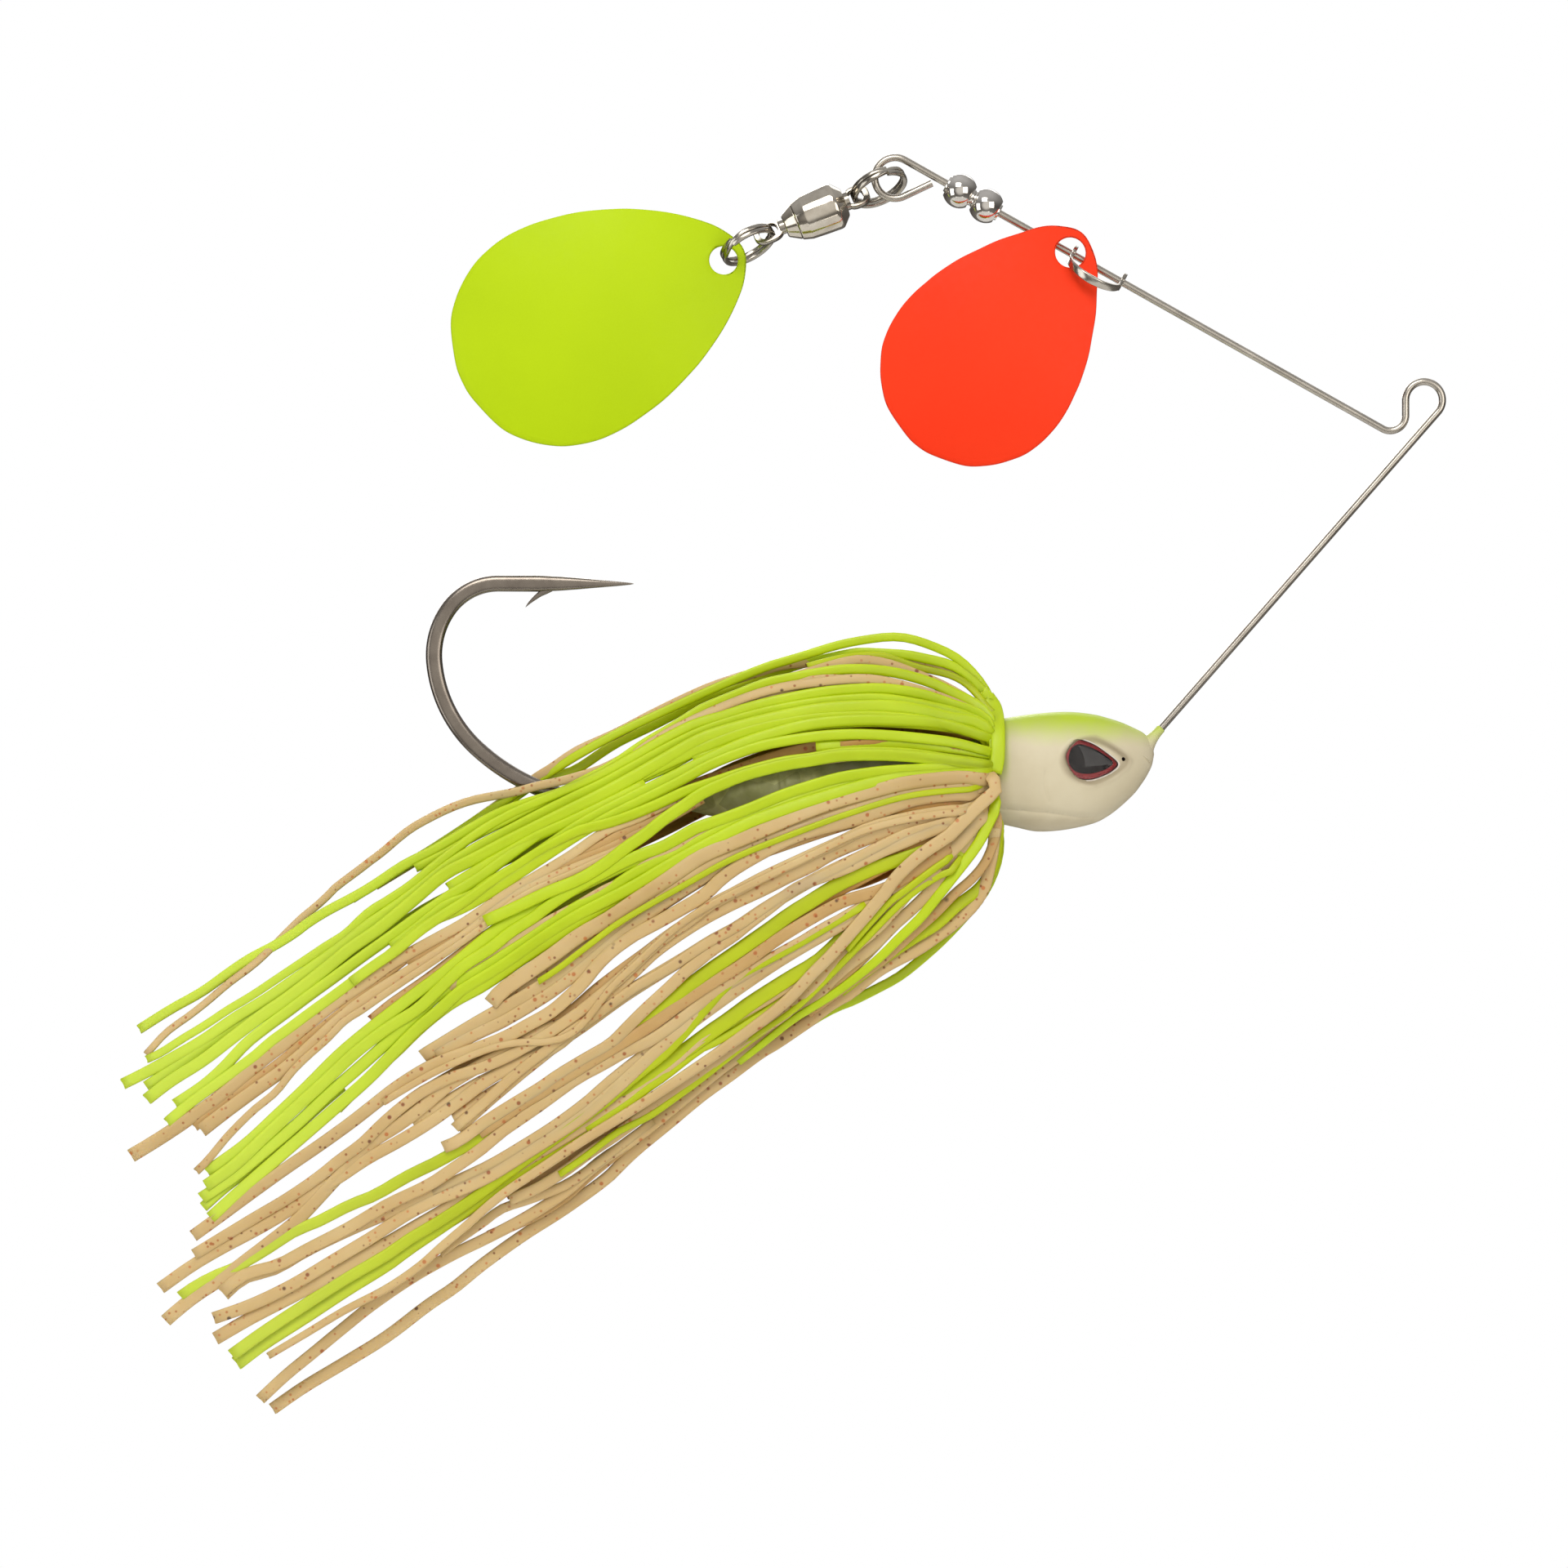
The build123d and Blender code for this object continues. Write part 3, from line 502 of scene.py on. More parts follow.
def soften(profile, r=0.05, n=3):
    """Rounds the corners of an open (x, r) profile."""
    P = [np.array(p, float) for p in profile]
    out = [P[0]]
    for a, b, c in zip(P, P[1:], P[2:]):
        d1, d2 = np.linalg.norm(a - b), np.linalg.norm(c - b)
        if d1 < 1e-9 or d2 < 1e-9:
            continue
        k = min(r, d1 * 0.45, d2 * 0.45)
        p, q = b + (a - b) / d1 * k, b + (c - b) / d2 * k
        for t in np.linspace(0, 1, n + 1):
            out.append((1 - t) ** 2 * p + 2 * t * (1 - t) * b + t * t * q)
    out.append(P[-1])
    return [tuple(p) for p in out]


def lathe(profile, n=48, closed=False):
    """Revolves (x, r) about local X; r = 0 at the ends closes it, closed=True joins the profile to itself."""
    verts, faces = [], []
    rows = []
    for x, r in profile:
        if r < 1e-6:
            rows.append([len(verts)])
            verts.append((x, 0, 0))
        else:
            rows.append(list(range(len(verts), len(verts) + n)))
            for j in range(n):
                a = 2 * math.pi * j / n
                verts.append((x, r * math.sin(a), r * math.cos(a)))
    pairs = list(zip(rows, rows[1:])) + ([(rows[-1], rows[0])] if closed else [])
    for A, Bq in pairs:
        if len(A) == 1 and len(Bq) == 1:
            continue
        for j in range(n):
            j2 = (j + 1) % n
            if len(A) == 1:
                faces.append((A[0], Bq[j2], Bq[j]))
            elif len(Bq) == 1:
                faces.append((A[j], A[j2], Bq[0]))
            else:
                faces.append((A[j], A[j2], Bq[j2], Bq[j]))
    return verts, faces


def basis(origin, x_dir, z_dir):
    x = Vector(x_dir).normalized()
    z = Vector(z_dir)
    z = (z - x * z.dot(x)).normalized()
    y = z.cross(x)
    mat = Matrix((x, y, z)).transposed()
    o = Vector(origin)
    return lambda v: tuple(mat @ Vector(v) + o)


def merge(*parts):
    V, F = [], []
    for v, f in parts:
        b = len(V)
        V += list(v)
        F += [tuple(i + b for i in q) for q in f]
    return V, F


def sm(a, b, x):
    t = np.clip((x - a) / (b - a), 0, 1)
    return t * t * (3 - 2 * t)


def spline(points, n, closed=False):
    """Centripetal-ish Catmull-Rom resampled evenly by length; keeps every column."""
    P = np.asarray(points, float)
    if closed:
        P = np.vstack([P[-1], P, P[0], P[1]])
    else:
        P = np.vstack([2 * P[0] - P[1], P, 2 * P[-1] - P[-2]])
    out = []
    for i in range(1, len(P) - 2):
        p0, p1, p2, p3 = P[i - 1], P[i], P[i + 1], P[i + 2]
        for t in np.linspace(0, 1, 24, endpoint=False):
            out.append(0.5 * ((2 * p1) + (-p0 + p2) * t + (2 * p0 - 5 * p1 + 4 * p2 - p3) * t * t + (-p0 + 3 * p1 - 3 * p2 + p3) * t ** 3))
    out.append(P[-2])
    out = np.array(out)
    d = np.concatenate([[0], np.cumsum(np.linalg.norm(np.diff(out[:, :3], axis=0), axis=1))])
    s = np.linspace(0, d[-1], n + (1 if closed else 0))
    res = np.stack([np.interp(s, d, out[:, c]) for c in range(out.shape[1])], 1)
    return res[:-1] if closed else res


class Trace:
    """Tangent lines and arcs in the XZ plane, sampled as points."""

    def __init__(self, x, z, heading, step=4.0):
        self.x, self.z, self.h, self.step = x, z, math.radians(heading), step
        self.pts = [(x, 0.0, z)]

    def go(self, length, n=6):
        for k in range(1, n + 1):
            self.pts.append((self.x + length * k / n * math.cos(self.h), 0.0, self.z + length * k / n * math.sin(self.h)))
        self.x, _, self.z = self.pts[-1]
        return self

    def turn(self, radius, degrees):
        s = 1 if degrees > 0 else -1
        a = math.radians(degrees)
        cx, cz = self.x - s * radius * math.sin(self.h), self.z + s * radius * math.cos(self.h)
        n = max(4, int(abs(degrees) / self.step))
        for k in range(1, n + 1):
            g = self.h + a * k / n
            self.pts.append((cx + s * radius * math.sin(g), 0.0, cz - s * radius * math.cos(g)))
        self.x, _, self.z = self.pts[-1]
        self.h += a
        return self


# ================================================================== wire frame
ARM_UP, ARM_LOW, TILT = (-0.8716, 0.4903), (0.6585, 0.7526), 4.57
ang_low = math.degrees(math.atan2(ARM_LOW[1], ARM_LOW[0]))
ang_up = math.degrees(math.atan2(ARM_UP[1], ARM_UP[0]))
EYE = (-35.921, -44.471)
t1 = (2.25 * math.sin(math.radians(ang_low)), -2.25 * math.cos(math.radians(ang_low)))
arm_len = math.hypot(t1[0] - EYE[0], t1[1] - EYE[1])
tr = Trace(EYE[0], EYE[1], ang_low, 3.0)
tr.go(arm_len, 40).turn(2.25, 270 - ang_low).go(1.86, 3).turn(1.9, -(270 - ang_up))
tr.go(67.07, 40)
loop_start = (tr.x, tr.z)
tr.turn(2.5, 234.7).go(3.79, 6)
wire_pts = np.array(tr.pts)
V, F = sweep(wire_pts, circle(0.45, 28), up=(0, 1, 0))
add_mesh("wire_frame_drawn", V, F, [M["wire"]], node="wire_frame", sharp=60)

# ========================================================================= hook
HOOK_ARCS = [(25.41, 47.61), (16.31, 41.83), (9.77, 40.03), (7.44, 55.23)]
a_x, a_z = math.cos(math.radians(TILT)), math.sin(math.radians(TILT))
s_eye = math.hypot(EYE[0] + 96.71, EYE[1] + 49.33)
hk = Trace(EYE[0] - 1.8 * a_x, EYE[1] - 1.8 * a_z, 180 + TILT, 2.5)
hk.go(s_eye - 1.8, 30)
for r, a in HOOK_ARCS:
    hk.turn(r, -a)
n_bend = len(hk.pts)
hk.go(16.6, 60)
hp = np.array(hk.pts)


def forged(w_in, w_out, flat=0.72, n=40):
    """Superellipse section: flattened cheeks (across Y) and rounded crown."""
    pts = []
    for k in range(n):
        a = 2 * math.pi * k / n
        c, s = math.cos(a), math.sin(a)
        e = 2 / 2.9
        pts.append((w_out / 2 * math.copysign(abs(c) ** e, c), w_in / 2 * math.copysign(abs(s) ** e, s)))
    return pts


secs, shift = [], []
tipx = hp[-1, 0]
for i, p in enumerate(hp):
    if i < n_bend:
        secs.append(forged(2.0, 1.5)); shift.append(0.0)
    else:
        d = 16.6 - (tipx - p[0])       # distance from the bend
        w = np.interp(d, [0, 5, 7.6, 9.6, 12, 14.5, 16.2, 16.6], [2.0, 2.02, 1.75, 1.45, 1.02, 0.6, 0.24, 0.04])
        wo = np.interp(d, [0, 5, 8, 12, 14.5, 16.2, 16.6], [1.5, 1.46, 1.3, 0.95, 0.56, 0.22, 0.04])
        secs.append(forged(w, wo)); shift.append(0.0)
V, F = sweep(hp, np.array(secs), up=(0, 1, 0))
hook_o = add_mesh("hook_forged", V, F, [M["hook"]], node="hook", sharp=50)
# barb: a tongue lifted from the point's inner side
bx, bz = hp[n_bend, 0], hp[n_bend, 2]
barb_line = spline([(bx + 6.4, 0, bz - 0.55), (bx + 4.9, 0, bz - 1.25), (bx + 3.6, 0, bz - 2.3), (bx + 3.05, 0, bz - 2.92)], 16)
bsec = []
for i in range(16):
    t = i / 15
    w = np.interp(t, [0, 0.25, 0.6, 0.9, 1], [0.7, 0.8, 0.55, 0.22, 0.03])
    wo = np.interp(t, [0, 0.3, 0.8, 1], [0.9, 0.8, 0.4, 0.03])
    bsec.append(forged(w, wo, n=24))
V, F = sweep(barb_line, np.array(bsec), up=(0, 1, 0))
add_mesh("hook_barb", V, F, [M["hook"]], sharp=50)

# ========================================================================= head
top = np.array([(-51.9, -39.05), (-50.0, -38.74), (-47.6, -38.42), (-45.2, -38.22), (-42.8, -38.22), (-40.4, -38.52), (-38.8, -38.92),
                (-37.2, -39.42), (-35.6, -40.12), (-34.4, -40.75), (-33.6, -41.6), (-33.2, -42.6), (-33.05, -43.4)])
bot = np.array([(-51.9, -51.9), (-50.0, -52.32), (-47.6, -52.82), (-45.2, -52.77), (-42.8, -52.42), (-40.4, -51.82), (-38.8, -51.02),
                (-37.2, -49.82), (-35.6, -48.32), (-34.8, -47.32), (-34.0, -46.12), (-33.35, -44.8), (-33.05, -43.4)])
wid = np.array([(-51.9, 4.38), (-50.0, 4.62), (-47.6, 4.82), (-45.2, 4.86), (-42.8, 4.72), (-40.4, 4.36), (-38.8, 3.98), (-37.2, 3.45),
                (-35.6, 2.72), (-34.4, 1.95), (-33.6, 1.2), (-33.2, 0.55), (-33.05, 0.0)])


def along(tab, x):
    """Smooth reading of a table, by arc so that blunt ends stay round."""
    s = spline([(a, b, 0.0) for a, b in tab], 400)
    order = np.argsort(s[:, 0])
    return np.interp(x, s[order, 0], s[order, 1])


NX, NA = 190, 220
u = np.linspace(0, 1, NX)
xs = -51.9 + (51.9 - 33.05) * np.sin(u * math.pi / 2) ** 1.15
zt, zb, hw = along(top, xs), along(bot, xs), along(wid, xs)
hw = np.maximum(hw, 0)
EYE_OUT = [(-44.2, -43.75), (-43.3, -42.2), (-41.9, -41.4), (-40.4, -41.5), (-38.2, -42.6), (-36.35, -44.1),
           (-37.4, -45.4), (-39.5, -46.6), (-41.3, -47.0), (-43.2, -46.0)]
EYE_MID = (-40.5, -44.1)
eye_loop = spline([(a, b, 0) for a, b in EYE_OUT], 160, closed=True)[:, :2]


def inside_dist(x, z, loop):
    """Signed distance to a closed outline, positive inside."""
    p = np.stack([x, z], -1)[..., None, :]
    a, b = loop, np.roll(loop, -1, 0)
    ab = b - a
    t = np.clip(((p - a) * ab).sum(-1) / (ab * ab).sum(-1), 0, 1)
    d = np.sqrt((((p - a) - t[..., None] * ab) ** 2).sum(-1)).min(-1)
    yi = (a[:, 1] > z[..., None]) != (b[:, 1] > z[..., None])
    xi = x[..., None] < (b[:, 0] - a[:, 0]) * (z[..., None] - a[:, 1]) / (b[:, 1] - a[:, 1] + 1e-12) + a[:, 0]
    ins = (yi & xi).sum(-1) % 2 == 1
    return np.where(ins, d, -d)


def line_dist(x, z, pts):
    p = np.stack([x, z], -1)[..., None, :]
    a, b = pts[:-1], pts[1:]
    ab = b - a
    t = np.clip(((p - a) * ab).sum(-1) / (ab * ab).sum(-1), 0, 1)
    q = a + t[..., None] * ab
    dd = np.sqrt(((p - q) ** 2).sum(-1))
    k = dd.argmin(-1)
    side = np.take_along_axis((p - q)[..., 1], k[..., None], -1)[..., 0]
    return dd.min(-1), side


ang = np.linspace(0, 2 * math.pi, NA, endpoint=False)
X = np.repeat(xs[:, None], NA, 1)
expo = 2 / 2.25
cz, hz = (zt + zb) / 2, (zt - zb) / 2
C, S = np.cos(ang), np.sin(ang)
Z = cz[:, None] + hz[:, None] * (np.sign(C) * np.abs(C) ** expo)[None]
Y = hw[:, None] * (np.sign(S) * np.abs(S) ** expo)[None]
# jaw line and gill crease
jaw = spline([(*look(1222, 989), 0), (*look(1282, 994), 0), (*look(1332, 1000), 0), (*look(1366, 991), 0), (*look(1388, 977), 0), (*look(1403, 956), 0), (*look(1409, 944), 0)], 60)[:, :2]
gill = spline([(*look(1277.5, 944), 0), (*look(1276, 956), 0), (*look(1278, 968), 0), (*look(1282.5, 980), 0)], 20)[:, :2]
dj, sj = line_dist(X, Z, jaw)
dg, _ = line_dist(X, Z, gill)
inward = np.exp(-(dj / 0.34) ** 2) * 0.16 + np.where(sj < 0, sm(0, 0.9, dj) * 0.0 + 0.10 * np.exp(-dj / 2.5), 0.0)
inward += np.exp(-(dg / 0.33) ** 2) * 0.10
side = np.sign(Y)
Ya = np.abs(Y)
Ya = np.maximum(Ya - inward * np.minimum(1, Ya / 1.5), 0)
# eye socket: flat floor that follows the cheek's taper, with a rounded brow
floor_y = 3.62 / math.cos(math.radians(11.5)) - (X - EYE_MID[0]) * math.tan(math.radians(11.5))
d_in = inside_dist(X, Z, eye_loop)
k = sm(-0.16, 0.30, d_in)
Ya = np.where(Ya > floor_y, Ya * (1 - k) + floor_y * k, Ya)
# a soft raised lip round the socket
Ya = Ya + 0.10 * np.exp(-((d_in + 0.34) / 0.26) ** 2) * (Ya > 1.5)
Y = side * Ya
verts = [(X[i, j], Y[i, j], Z[i, j]) for i in range(NX) for j in range(NA)]
faces = grid_faces(NX, NA)
# rear face with a rounded rim, closed on the keeper
rear = []
for k_, (dx, sc_) in enumerate(((-0.22, 0.985), (-0.38, 0.94), (-0.42, 0.85), (-0.42, 0.42))):
    rear.append([(xs[0] + dx, Y[0, j] * sc_, cz[0] + (Z[0, j] - cz[0]) * sc_) for j in range(NA)])
base = len(verts)
for r_ in rear:
    verts += r_
for k_ in range(len(rear)):
    a0 = 0 if k_ == 0 else base + (k_ - 1) * NA
    b0 = base + k_ * NA
    for j in range(NA):
        j2 = (j + 1) % NA
        faces.append((a0 + j2, a0 + j, b0 + j, b0 + j2))
c = len(verts)
verts.append((xs[0] - 0.42, 0, cz[0]))
b0 = base + (len(rear) - 1) * NA
faces += [(b0 + (j + 1) % NA, b0 + j, c) for j in range(NA)]
recalc(add_mesh("head_painted", verts, faces, [M["head"]], node="head_casting"))

# paint that has run up the wire at the nose
cone = []
for t in np.linspace(0, 1, 18):
    cone.append((1.6 + 4.0 * t, 0.56 + 1.55 * (1 - t) ** 2.4))
cone = [(1.2, 0.0)] + cone + [(5.75, 0.46), (5.75, 0.0)]
V, F = lathe(cone, 40)
put = basis((EYE[0], 0, EYE[1]), (ARM_LOW[0], 0, ARM_LOW[1]), (0, 1, 0))
recalc(add_mesh("head_nose_collar", [put(v) for v in V], F, [M["head"]]))

# keeper and bare cast tail, with the mould's part line
KEEP_Z = -49.33 + (-51.9 + 96.71) * a_z / a_x
prof = [(1.0, 0), (1.0, 3.0), (-9.4, 3.0), (-10.4, 3.25), (-21.6, 3.28), (-24.0, 3.42), (-26.2, 3.5), (-26.5, 3.3), (-26.9, 3.3), (-27.2, 3.5),
        (-31.0, 3.42), (-31.5, 3.25), (-32.0, 3.3), (-33.4, 3.1), (-38.2, 1.35), (-38.6, 1.0), (-38.7, 0)]
fine = soften(prof, 0.25, 3)
dense = [fine[0]]
for p, q in zip(fine, fine[1:]):
    n = max(1, int(math.hypot(q[0] - p[0], q[1] - p[1]) / 0.35))
    dense += [(p[0] + (q[0] - p[0]) * k / n, p[1] + (q[1] - p[1]) * k / n) for k in range(1, n + 1)]
V, F = lathe(dense, 72)
rng = random.Random(3)
lump = []
for v in V:
    x, y, z = v
    r = math.hypot(y, z)
    if r > 0.5 and x < -10:
        a = math.atan2(y, z)
        k = 0.10 * math.sin(x * 1.1 + 2.1 * math.sin(a * 2)) + 0.07 * math.sin(x * 2.3 + a * 3) + 0.16 * math.exp(-(abs(math.sin(a)) / 0.05) ** 2)
        k += 0.18 * math.exp(-((a + 1.25) / 0.35) ** 2) * (x < -20)
        s_ = (r + min(k, 0.2)) / r
        lump.append((x, y * s_, z * s_))
    else:
        lump.append(v)
put = basis((-51.9, 0, KEEP_Z), (a_x, 0, a_z), (-a_z, 0, a_x))
recalc(add_mesh("lead_tail", [put(v) for v in lump], F, [M["lead"]]))

# ========================================================================= eyes
def eye_material_foil():
    m = Mat("eye_foil")
    v = m.coords()
    n1 = m.noise(v, 2600.0, 3.0, 0.6)
    n2 = m.noise(v, 9000.0, 2.0, 0.6)
    m.set(Base_Color=m.ramp(n1, [(0.3, srgb(150, 22, 30)), (0.7, srgb(196, 40, 46))]), Metallic=0.25)
    m.set(Roughness=m.span(n2, 0.3, 0.7, 0.22, 0.4))
    m.bump(n2, 0.2, 0.00002)
    return m.m


def eye_material_pupil():
    m = Mat("eye_pupil")
    v = m.coords()
    n1 = m.noise(v, 900.0, 3.0, 0.6)
    m.set(Base_Color=m.ramp(n1, [(0.3, srgb(7, 5, 5)), (0.8, srgb(30, 22, 22))]), Roughness=m.span(n1, 0.2, 0.8, 0.55, 0.7))
    m.set(Specular_IOR_Level=0.0)
    m.bump(n1, 0.08, 0.00002)
    return m.m


def eye_material_rim():
    m = Mat("eye_rim")
    v = m.coords()
    n1 = m.noise(v, 1600.0, 3.0, 0.6)
    m.set(Base_Color=m.ramp(n1, [(0.3, srgb(40, 8, 12)), (0.8, srgb(92, 20, 26))]), Roughness=m.span(n1, 0.2, 0.8, 0.3, 0.45))
    m.bump(n1, 0.1, 0.00002)
    return m.m


def eye_material_dome():
    m = Mat("eye_resin")
    v = m.coords()
    n1 = m.noise(v, 700.0, 2.0, 0.5)
    m.set(Base_Color=m.ramp(n1, [(0.3, (0.70, 0.66, 0.65, 1)), (0.8, (0.75, 0.72, 0.71, 1))]), Roughness=m.span(n1, 0.2, 0.8, 0.02, 0.06))
    m.set(Transmission_Weight=1.0, IOR=1.30, Specular_IOR_Level=0.06)
    m.bump(n1, 0.04, 0.00002)
    return m.m


# painted reflection: a light ring round the eye standing in for light caught at the resin dome's edge
def eye_material_pale():
    m = Mat("eye_resin_edge_reflection")
    v = m.coords()
    n1 = m.noise(v, 1800.0, 3.0, 0.6)
    m.set(Base_Color=m.ramp(n1, [(0.3, srgb(206, 196, 182)), (0.8, srgb(236, 228, 218))]), Roughness=m.span(n1, 0.2, 0.8, 0.3, 0.5))
    m.bump(n1, 0.08, 0.00002)
    return m.m


M["pale"] = eye_material_pale()
M["foil"], M["pupil"], M["rim"], M["resin"] = eye_material_foil(), eye_material_pupil(), eye_material_rim(), eye_material_dome()
RING_OUT = [look(*p) for p in ((1300.5, 934), (1302, 917), (1308.5, 908.0), (1318.5, 905.5), (1336, 911), (1352, 921), (1367.6, 934.5), (1361, 944), (1347, 951), (1330, 955), (1312, 951))]
PUPIL = [look(*p) for p in ((1306, 934), (1307.5, 920), (1313, 913.5), (1322, 912), (1338, 917.5), (1351, 925), (1361, 934), (1354, 941), (1342, 945.5), (1328, 947.5), (1314, 944.5))]


def disc(outline, side, lift, scale=1.0, rings=1, crown=0.0, back=None, n=96):
    """Patch in the cheek's plane: rings of the outline shrunk to its middle, crowned outward."""
    lp = spline([(a, b, 0) for a, b in outline], n, closed=True)[:, :2]
    mid = lp.mean(0)
    nrm = Vector((math.sin(math.radians(11.5)), side * math.cos(math.radians(11.5)), 0))
    aln = Vector((math.cos(math.radians(11.5)), -side * math.sin(math.radians(11.5)), 0))
    org = Vector((EYE_MID[0], side * 3.62, 0))
    V, F = [], []

    def at(p, h):
        q = org + aln * (p[0] - EYE_MID[0]) + nrm * h
        return (q.x, q.y, p[1])
    for r_ in range(rings):
        s = scale * (1 - r_ / rings)
        h = lift + crown * (1 - (1 - r_ / rings) ** 2) ** 0.8 if crown else lift
        V += [at(mid + (p - mid) * s, h) for p in lp]
    V.append(at(mid, lift + crown))
    F = grid_faces(rings, n)
    F += [((rings - 1) * n + j, (rings - 1) * n + (j + 1) % n, len(V) - 1) for j in range(n)]
    if back is not None:
        b = len(V)
        V += [at(mid + (p - mid) * scale, back) for p in lp]
        V.append(at(mid, back))
        F += [(j, b + j, b + (j + 1) % n, (j + 1) % n) for j in range(n)]
        F += [(b + j, len(V) - 1, b + (j + 1) % n) for j in range(n)]
    return V, F


for s_, word in ((-1, "left"), (1, "right")):
    # the widest disc carries the painted reflection ring
    pale_v = disc(RING_OUT, s_, 0.085, 1.07, 1, back=-0.02)
    base_v = disc(RING_OUT, s_, 0.10, 1.0, 1, back=0.0)
    foil_v = disc(RING_OUT, s_, 0.125, 0.94, 1, back=0.05)
    pup_v = disc(PUPIL, s_, 0.15, 1.0, 1, back=0.08)
    V, F = merge(base_v, foil_v, pup_v, pale_v)
    mi = [0] * len(base_v[1]) + [1] * len(foil_v[1]) + [2] * len(pup_v[1]) + [3] * len(pale_v[1])
    recalc(add_mesh(f"eye_foil_{word}", V, F, [M["rim"], M["foil"], M["pupil"], M["pale"]], mi, smooth=False, node=f"eye_film_{word}"))
    pin = look(1374.7, 929.6)
    V, F = disc([(pin[0] + 0.21 * math.cos(a), pin[1] + 0.25 * math.sin(a)) for a in np.linspace(0, 2 * math.pi, 12, endpoint=False)], s_, 0.10, 1.0, 3, crown=0.05, back=-0.1, n=24)
    recalc(add_mesh(f"eye_socket_vent_{word}", V, F, [M["pupil"]]))
    V, F = disc(RING_OUT, s_, 0.17, 1.0, 14, crown=0.5, back=0.155)
    recalc(add_mesh(f"eye_resin_{word}", V, F, [M["resin"]], node=f"eye_dome_{word}", sharp=60))

# ================================================================ skirt collar
V, F = lathe(soften([(-5.1, 3.86), (-5.1, 4.9), (-6.0, 5.0), (-6.4, 4.85), (-6.8, 5.0), (-7.6, 4.9), (-7.6, 3.86)], 0.2, 4), 64, closed=True)
recalc(add_mesh("skirt_collar", [put(v) for v in V], F, [M["band"]], node="skirt_band"))

# ======================================================================== beads
arm3 = Vector((ARM_UP[0], 0, ARM_UP[1])).normalized()
fwd = -arm3
prof = [(-1.83, 0.52), (-1.83, 0.98), (-1.72, 1.04), (-1.6, 1.06)]
for k in range(-20, 21):
    x = 1.58 * k / 20
    prof.append((x, math.sqrt(2.13 ** 2 - x * x)))
prof += [(1.6, 1.06), (1.72, 1.04), (1.83, 0.98), (1.83, 0.52)]
for name, node, back in (("bead_polished_rear", "bead_rear", 7.70), ("bead_polished_front", "bead_front", 11.39)):
    V, F = lathe(prof, 56, closed=True)
    p = Vector((loop_start[0], 0, loop_start[1])) + fwd * back
    put_b = basis(p, fwd, (0, -1, 0))
    recalc(add_mesh(name, [put_b(v) for v in V], F, [M["bead"]], body="beads", node=node, sharp=40))

# ======================================================================= clevis
turn = math.radians(67.0)
down_n = Vector((-0.4903, 0, -0.8716))
bow_dir = (down_n * math.cos(turn) + Vector((0, -1, 0)) * math.sin(turn)).normalized()
k_dir = fwd.cross(bow_dir).normalized()
cl = Vector((-40.04, 0, 16.16))
H, LEG = 3.45, 1.7
line, wide, thick = [], [], []
for t in np.linspace(0.55, LEG, 6):
    line.append((-H, t)); wide.append(np.interp(t, [0.55, 1.2, LEG], [1.5, 1.0, 0.84])); thick.append(0.5)
for a in np.linspace(180, 0, 40)[1:-1]:
    line.append((H * math.cos(math.radians(a)), LEG + H * math.sin(math.radians(a))))
    wide.append(np.interp(abs(a - 90), [0, 50, 90], [1.12, 0.95, 0.84])); thick.append(0.5)
for t in np.linspace(LEG, 0.55, 6):
    line.append((H, t)); wide.append(np.interp(t, [0.55, 1.2, LEG], [1.5, 1.0, 0.84])); thick.append(0.5)
P = [cl + fwd * a + bow_dir * b for a, b in line]
secs = [rounded_rect(w_, t_, 0.17, 3) for w_, t_ in zip(wide, thick)]
bow_m = sweep([tuple(p) for p in P], np.array(secs), up=tuple(k_dir))
parts = [bow_m]
for sx in (-1, 1):
    ear = soften([(-0.25, 0.53), (-0.25, 1.15), (0.25, 1.15), (0.25, 0.53)], 0.1, 3)
    V, F = lathe(ear, 44, closed=True)
    if sx == 1:
        # the strip's pointed end stands up past the wire
        V2 = []
        for x, y, z in V:
            r = math.hypot(y, z)
            a = math.atan2(y, -z)
            if r > 0.8:
                g = 1 + 0.80 * math.exp(-(a / 0.36) ** 2)
                y, z = y * g, z * g
            V2.append((x, y, z))
        V = V2
    pb = basis(cl + fwd * (sx * H), fwd, bow_dir)
    parts.append(([pb(v) for v in V], F))
V, F = merge(*parts)
recalc(add_mesh("clevis_folded", V, F, [M["clevis"]], body="clevis", node="clevis", sharp=50))

# ======================================================================= blades
REAR_OUT = [(-17.33, 0), (-17.23, 2.0), (-15.65, 6.9), (-14.07, 9.12), (-12.49, 10.62), (-10.91, 11.74), (-9.33, 12.61),
            (-7.75, 13.12), (-6.17, 13.53), (-4.59, 13.73), (-3.01, 13.75), (-1.43, 13.68), (0.15, 13.46), (1.73, 13.17),
            (3.31, 12.86), (4.89, 12.41), (6.48, 11.85), (8.06, 11.23), (9.64, 10.58), (11.22, 9.75), (12.8, 8.85),
            (14.38, 7.85), (15.96, 6.68), (17.54, 5.32), (19.12, 3.71), (20.7, 1.05), (20.8, 0)]
FRONT_OUT = [(-14.76, 0), (-14.66, 1.57), (-13.29, 5.78), (-11.92, 7.67), (-10.55, 9.06), (-9.19, 10.03), (-7.82, 10.92),
             (-6.45, 11.39), (-5.08, 11.74), (-3.71, 11.89), (-2.34, 11.98), (-0.97, 11.88), (0.39, 11.71), (1.76, 11.38),
             (3.13, 11.1), (4.5, 10.64), (5.87, 10.17), (7.24, 9.57), (8.6, 8.85), (9.97, 8.17), (11.34, 7.43), (12.71, 6.49),
             (14.08, 5.52), (15.45, 4.64), (16.81, 3.25), (18.18, 0.89), (18.28, 0)]


